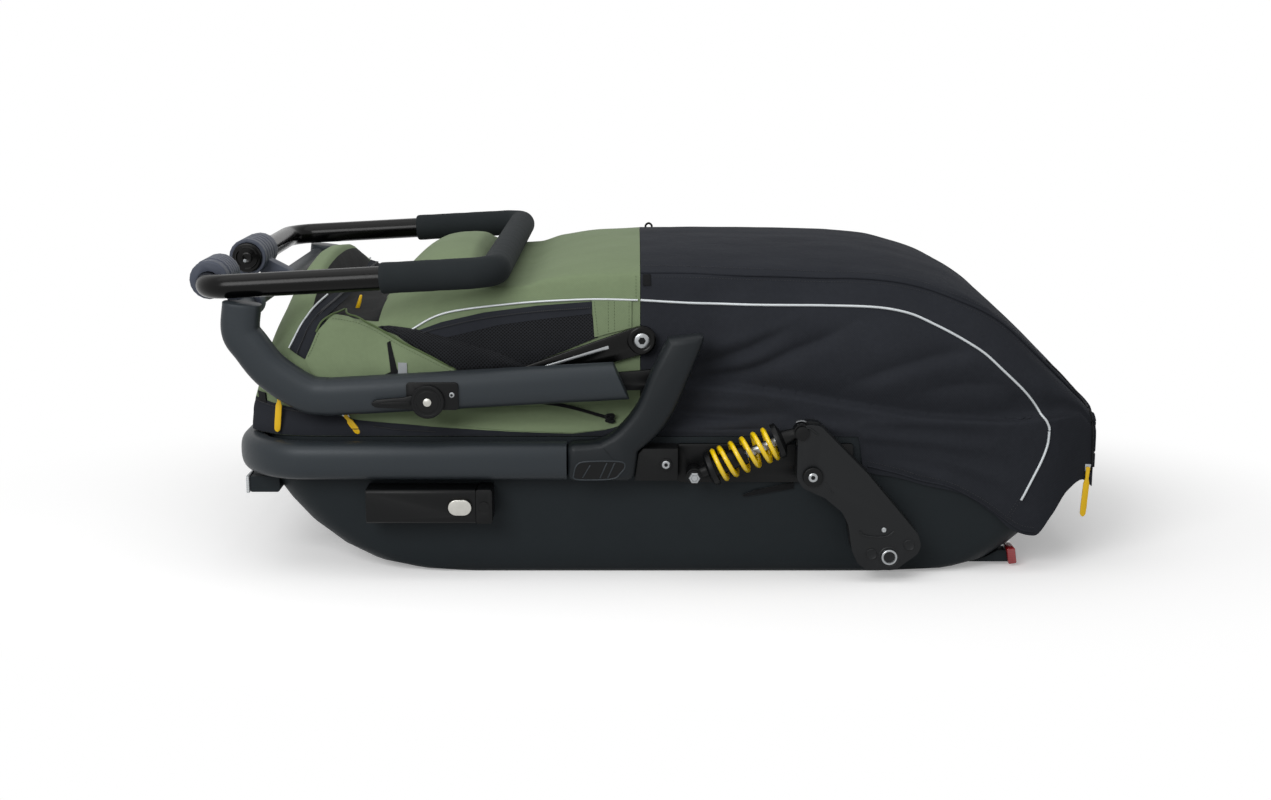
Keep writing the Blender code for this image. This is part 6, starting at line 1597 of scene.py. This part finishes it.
# height above the cover and width in mm, then the line
FRONT_ZIPS = (
    (2.2, 3.4, (-262, 283.5), (-239, 290), (-191, 300.5), (-128, 308.5), (-68, 313)),
    (4.0, 3.4, (-375, 311), (-391, 290), (-404, 261)),
    (2.0, 2.6, (-460, 201), (-420, 196), (-372, 190)),
    (2.0, 2.6, (-318, 177), (-290, 174), (-247, 171.5)),
)
for side, label in SIDES:
    seams = [stitched("seam", front.line(line, side, out_mm), THREAD_GREEN) for out_mm, *line in GREEN_STITCHES]
    on_front(merged(f"green_stitching_{label}", seams), "green_fabric")
    zips = [toothed("zip", front.line(line, side, out_mm), THREAD_BLACK, width_mm=width_mm)
            for out_mm, width_mm, *line in FRONT_ZIPS]
    on_front(merged(f"zip_teeth_front_{label}", zips), "black_fabric")
print(len(GREEN_STITCHES), "seams and", len(FRONT_ZIPS), "zips on each side")

# %% [markdown]
# ## Seams of the rear cover
# A rolled seam follows the top edge, with a row of stitches on each side. A silver piping comes down with it,
# and a hem closes the cloth below. They are swept and stitched with the same helpers as in front.

# %% Top seam, silver piping and hem of the rear cover
TOP_SEAM = ((-9, 352), (55, 352), (166, 348.5), (240, 346), (299, 340), (351, 324), (408, 296), (466, 245),
            (522, 191))
SILVER_LINE = ((-10, 321.5), (55, 318), (128, 317), (238, 316), (293, 310), (331, 295), (379, 269), (410, 243),
               (441, 213), (463, 182), (466, 167), (461, 144), (436, 90))
HEM_LINE = ((256, 129), (290, 121), (316, 113), (353, 104), (391, 84), (432, 55), (452, 49))
HEM_STITCHES = (higher(HEM_LINE, 7), ((433, 92), (426, 80), (419, 69)), ((436, 90), (429, 78), (422, 67)))
SEAM_TAB = ((-6, 350), (3, 350), (3, 338), (-6, 338))
for side, label in SIDES:
    seams = [piping("seam", rear.line(TOP_SEAM, side, 0.7), 1.5, BLACK_CLOTH)]
    seams += [stitched("seam", rear.line(higher(TOP_SEAM[:-1], up_mm), side, 0.3), THREAD_BLACK)
              for up_mm in (5, -4.5)]
    place(merged(f"top_seam_{label}", seams), "base", "black_fabric")
    place(piping(f"silver_piping_rear_{label}", rear.line(SILVER_LINE, side, 0.8), 1.5, PIPING), "base",
          "grey_plastic")
    hems = [piping("hem", rear.line(higher(HEM_LINE, 1.5), side, 0.5), 1.2, BLACK_CLOTH)]
    hems += [stitched("hem", rear.line(line, side, 0.5), THREAD_BLACK) for line in HEM_STITCHES]
    place(merged(f"rear_hem_{label}", hems), "base", "black_fabric")
    place(patch(f"seam_tab_{label}", rear, SEAM_TAB, side, BLACK_WEBBING, 1.4), "base", "black_fabric")
print("seams, pipings and hems on both sides")

# %% [markdown]
# ## The tail
# The end panel opens with a zip that follows its edge. The tape is a flat strip between two sizes of that edge,
# and the teeth run in its middle. A small loop of cord stands on the seam between the covers.

# %% Zip of the tail panel, its edge piping and the loop
HEM_POINTS, ZIP_X = 6, 0.5318
tail_middle = rear.grid[-1].mean(axis=0)
tail_edge = rear.grid[-1][HEM_POINTS:-HEM_POINTS]
place(piping("tail_seam", tail_edge + (0.0006, 0.0, 0.0), 1.3, BLACK_CLOTH), "base", "black_fabric")
zip_line = (tail_edge - tail_middle) * (0.955, 0.955, 0.93) + tail_middle
zip_line[:, 0] = ZIP_X
tape_points = np.concatenate([(tail_edge - tail_middle) * (1, size, size) + tail_middle + (0.0004, 0, 0)
                              for size in (0.985, 0.925)])
count = len(tail_edge)
tape = mesh_object("tail_zip_tape", tape_points, [(i, i + 1, count + i + 1, count + i) for i in range(count - 1)],
                   BLACK_WEBBING)
thickened(tape, 1.2, 35.0, offset=0.0)
place(merged("tail_zip", [tape, toothed("teeth", zip_line, THREAD_BLACK, 2.4, 3.2)]), "base", "black_fabric")
REAR_EDGE = ((473, 243), (496, 222), (517, 197), (526, 180), (528, 150), (529, 112))
for label, side in (("low", LEFT), ("far", RIGHT)):
    place(piping(f"rear_edge_piping_{label}", rear.line(REAR_EDGE, side, 0.5), 1.4, BLACK_WEBBING), "base",
          "black_fabric")
LOOP = ((-0.0030, -0.004), (-0.0042, 0.002), (-0.0040, 0.0065), (0.0, 0.0092), (0.0040, 0.0065),
        (0.0042, 0.002), (0.0030, -0.004))
foot_x, foot_y, foot_z = rear.at(0.004, 0.352, RIGHT)
loop_line = smooth_line([(foot_x + x, foot_y, foot_z + z) for x, z in LOOP], 8)
place(swept("seam_loop", loop_line, round_section(0.0015, 10), CORD_BLACK, up=ALONG_Y), "base", "black_fabric")
print("tail zip", count, "points along")

# %% [markdown]
# ## Small tabs on the front cover
# A grey tag in a black holder, a black tab under the nose and the yellow pull that lies in the valley behind
# the nose. They are cut and laid as the larger pieces are.

# %% Tabs and tags
HOLDER = ((-302, 271), (-298, 273), (-290, 243), (-285, 240), (-285, 232), (-305, 232), (-305, 238),
          (-297, 241))
TAG = ((-289, 250), (-279, 250), (-279, 238), (-289, 238))
NOSE_TAB = ((-457, 212), (-447, 212), (-446, 200), (-455, 200))
VALLEY_PULL = ((-0.3470, 0.3150), (-0.3440, 0.3145), (-0.3455, 0.3060), (-0.3480, 0.2985), (-0.3530, 0.2985),
               (-0.3500, 0.3065))
for side, label in SIDES:
    on_front(patch(f"tag_holder_{label}", front, HOLDER, side, BLACK_WEBBING, 1.6, 4.2), "black_fabric")
    on_front(patch(f"grey_tag_{label}", front, TAG, side, GREY_TAG, 1.4, 5.0), "grey_plastic")
    on_front(patch(f"nose_tab_{label}", front, NOSE_TAB, side, BLACK_WEBBING, 1.4, 1.2), "black_fabric")
on_front(plate("valley_pull", VALLEY_PULL, -0.1512, -0.1488, PULL_PLASTIC, 0.7), "pull_yellow")

# %% [markdown]
# ## The studio
# A product photograph is lit by one large soft light above and by the white room around it. The camera sees
# the room as pure white, and so do shiny surfaces, while the floor keeps the soft shadow under the trailer.

# %% Studio floor
WHITE = linear("#FFFFFF")
SHADOW_FROM, SHADOW_TO, FLOOR_GLOW = 0.62, 1.05, 0.27


def seen_or_mirrored(tree):
    """1 for the light that reaches the camera, straight or by a shiny or clear surface, and 0 for the rest."""
    ray = node(tree, "LightPath").outputs
    mirrored = node(tree, "Math", ray["Is Glossy Ray"], ray["Is Transmission Ray"], operation="MAXIMUM")
    return node(tree, "Math", ray["Is Camera Ray"], mirrored, operation="MAXIMUM")


floor_mesh = bpy.data.meshes.new("studio_floor")
floor_mesh.from_pydata([(-9, -9, 0), (9, -9, 0), (9, 9, 0), (-9, 9, 0)], [], [(0, 1, 2, 3)])
studio_floor = linked("studio_floor", floor_mesh)
floor_paint, tree, shader, spot = new_finish("matt_white_floor_paint", Roughness=0.95, Specular_IOR_Level=0.05,
                                             Base_Color=linear("#ADADAD"))
lifted = node(tree, "AddShader", node(tree, "BsdfDiffuse", Color=linear("#F7F7F7")),
              node(tree, "Emission", Color=WHITE, Strength=FLOOR_GLOW))
bare = node(tree, "Emission", Color=WHITE, Strength=1.0)
# the picture is wider than deep, so the distance from the trailer counts more in depth
away = node(tree, "VectorMath", node(tree, "VectorMath", spot, (1.0, 1.5, 1.0), operation="MULTIPLY"),
            operation="LENGTH")
fade = node(tree, "MapRange", away, SHADOW_FROM, SHADOW_TO, interpolation_type="SMOOTHSTEP")
near_view = node(tree, "MixShader", fade, lifted, bare)
feed(tree, tree.nodes["Material Output"], node(tree, "MixShader", seen_or_mirrored(tree), shader, near_view))
floor_mesh.materials.append(floor_paint)
print("shadow fades between", SHADOW_FROM, "and", SHADOW_TO, "m")

# %% White room
ROOM_LIGHT = 0.40
world = bpy.data.worlds.new("white_room")
world.use_nodes = True
bpy.context.scene.world = world
room = world.node_tree
room.nodes.clear()
lit = node(room, "Background", Color=WHITE, Strength=ROOM_LIGHT)
plain = node(room, "Background", Color=WHITE, Strength=1.0)
node(room, "OutputWorld", node(room, "MixShader", seen_or_mirrored(room), lit, plain))
print("the room gives", ROOM_LIGHT, "of the light that it shows")


# %% Soft lights
def soft_light(name, place_at, look_at, size, power):
    """A rectangular softbox turned to a point."""
    light = bpy.data.lights.new(name, "AREA")
    light.shape = "RECTANGLE"
    light.size, light.size_y = size
    light.energy = power
    lamp = linked(name, light)
    lamp.location = place_at
    lamp.rotation_euler = (Vector(look_at) - Vector(place_at)).to_track_quat("-Z", "Y").to_euler()
    return lamp


overhead = soft_light("overhead_softbox", (-0.3, -0.5, 2.3), (0.0, 0.0, 0.2), (2.6, 2.0), 15.0)
front_fill = soft_light("front_fill", (-1.1, -2.3, 1.45), (0.0, 0.0, 0.2), (1.4, 1.2), 35.0)
print("lights", overhead.name, "and", front_fill.name)
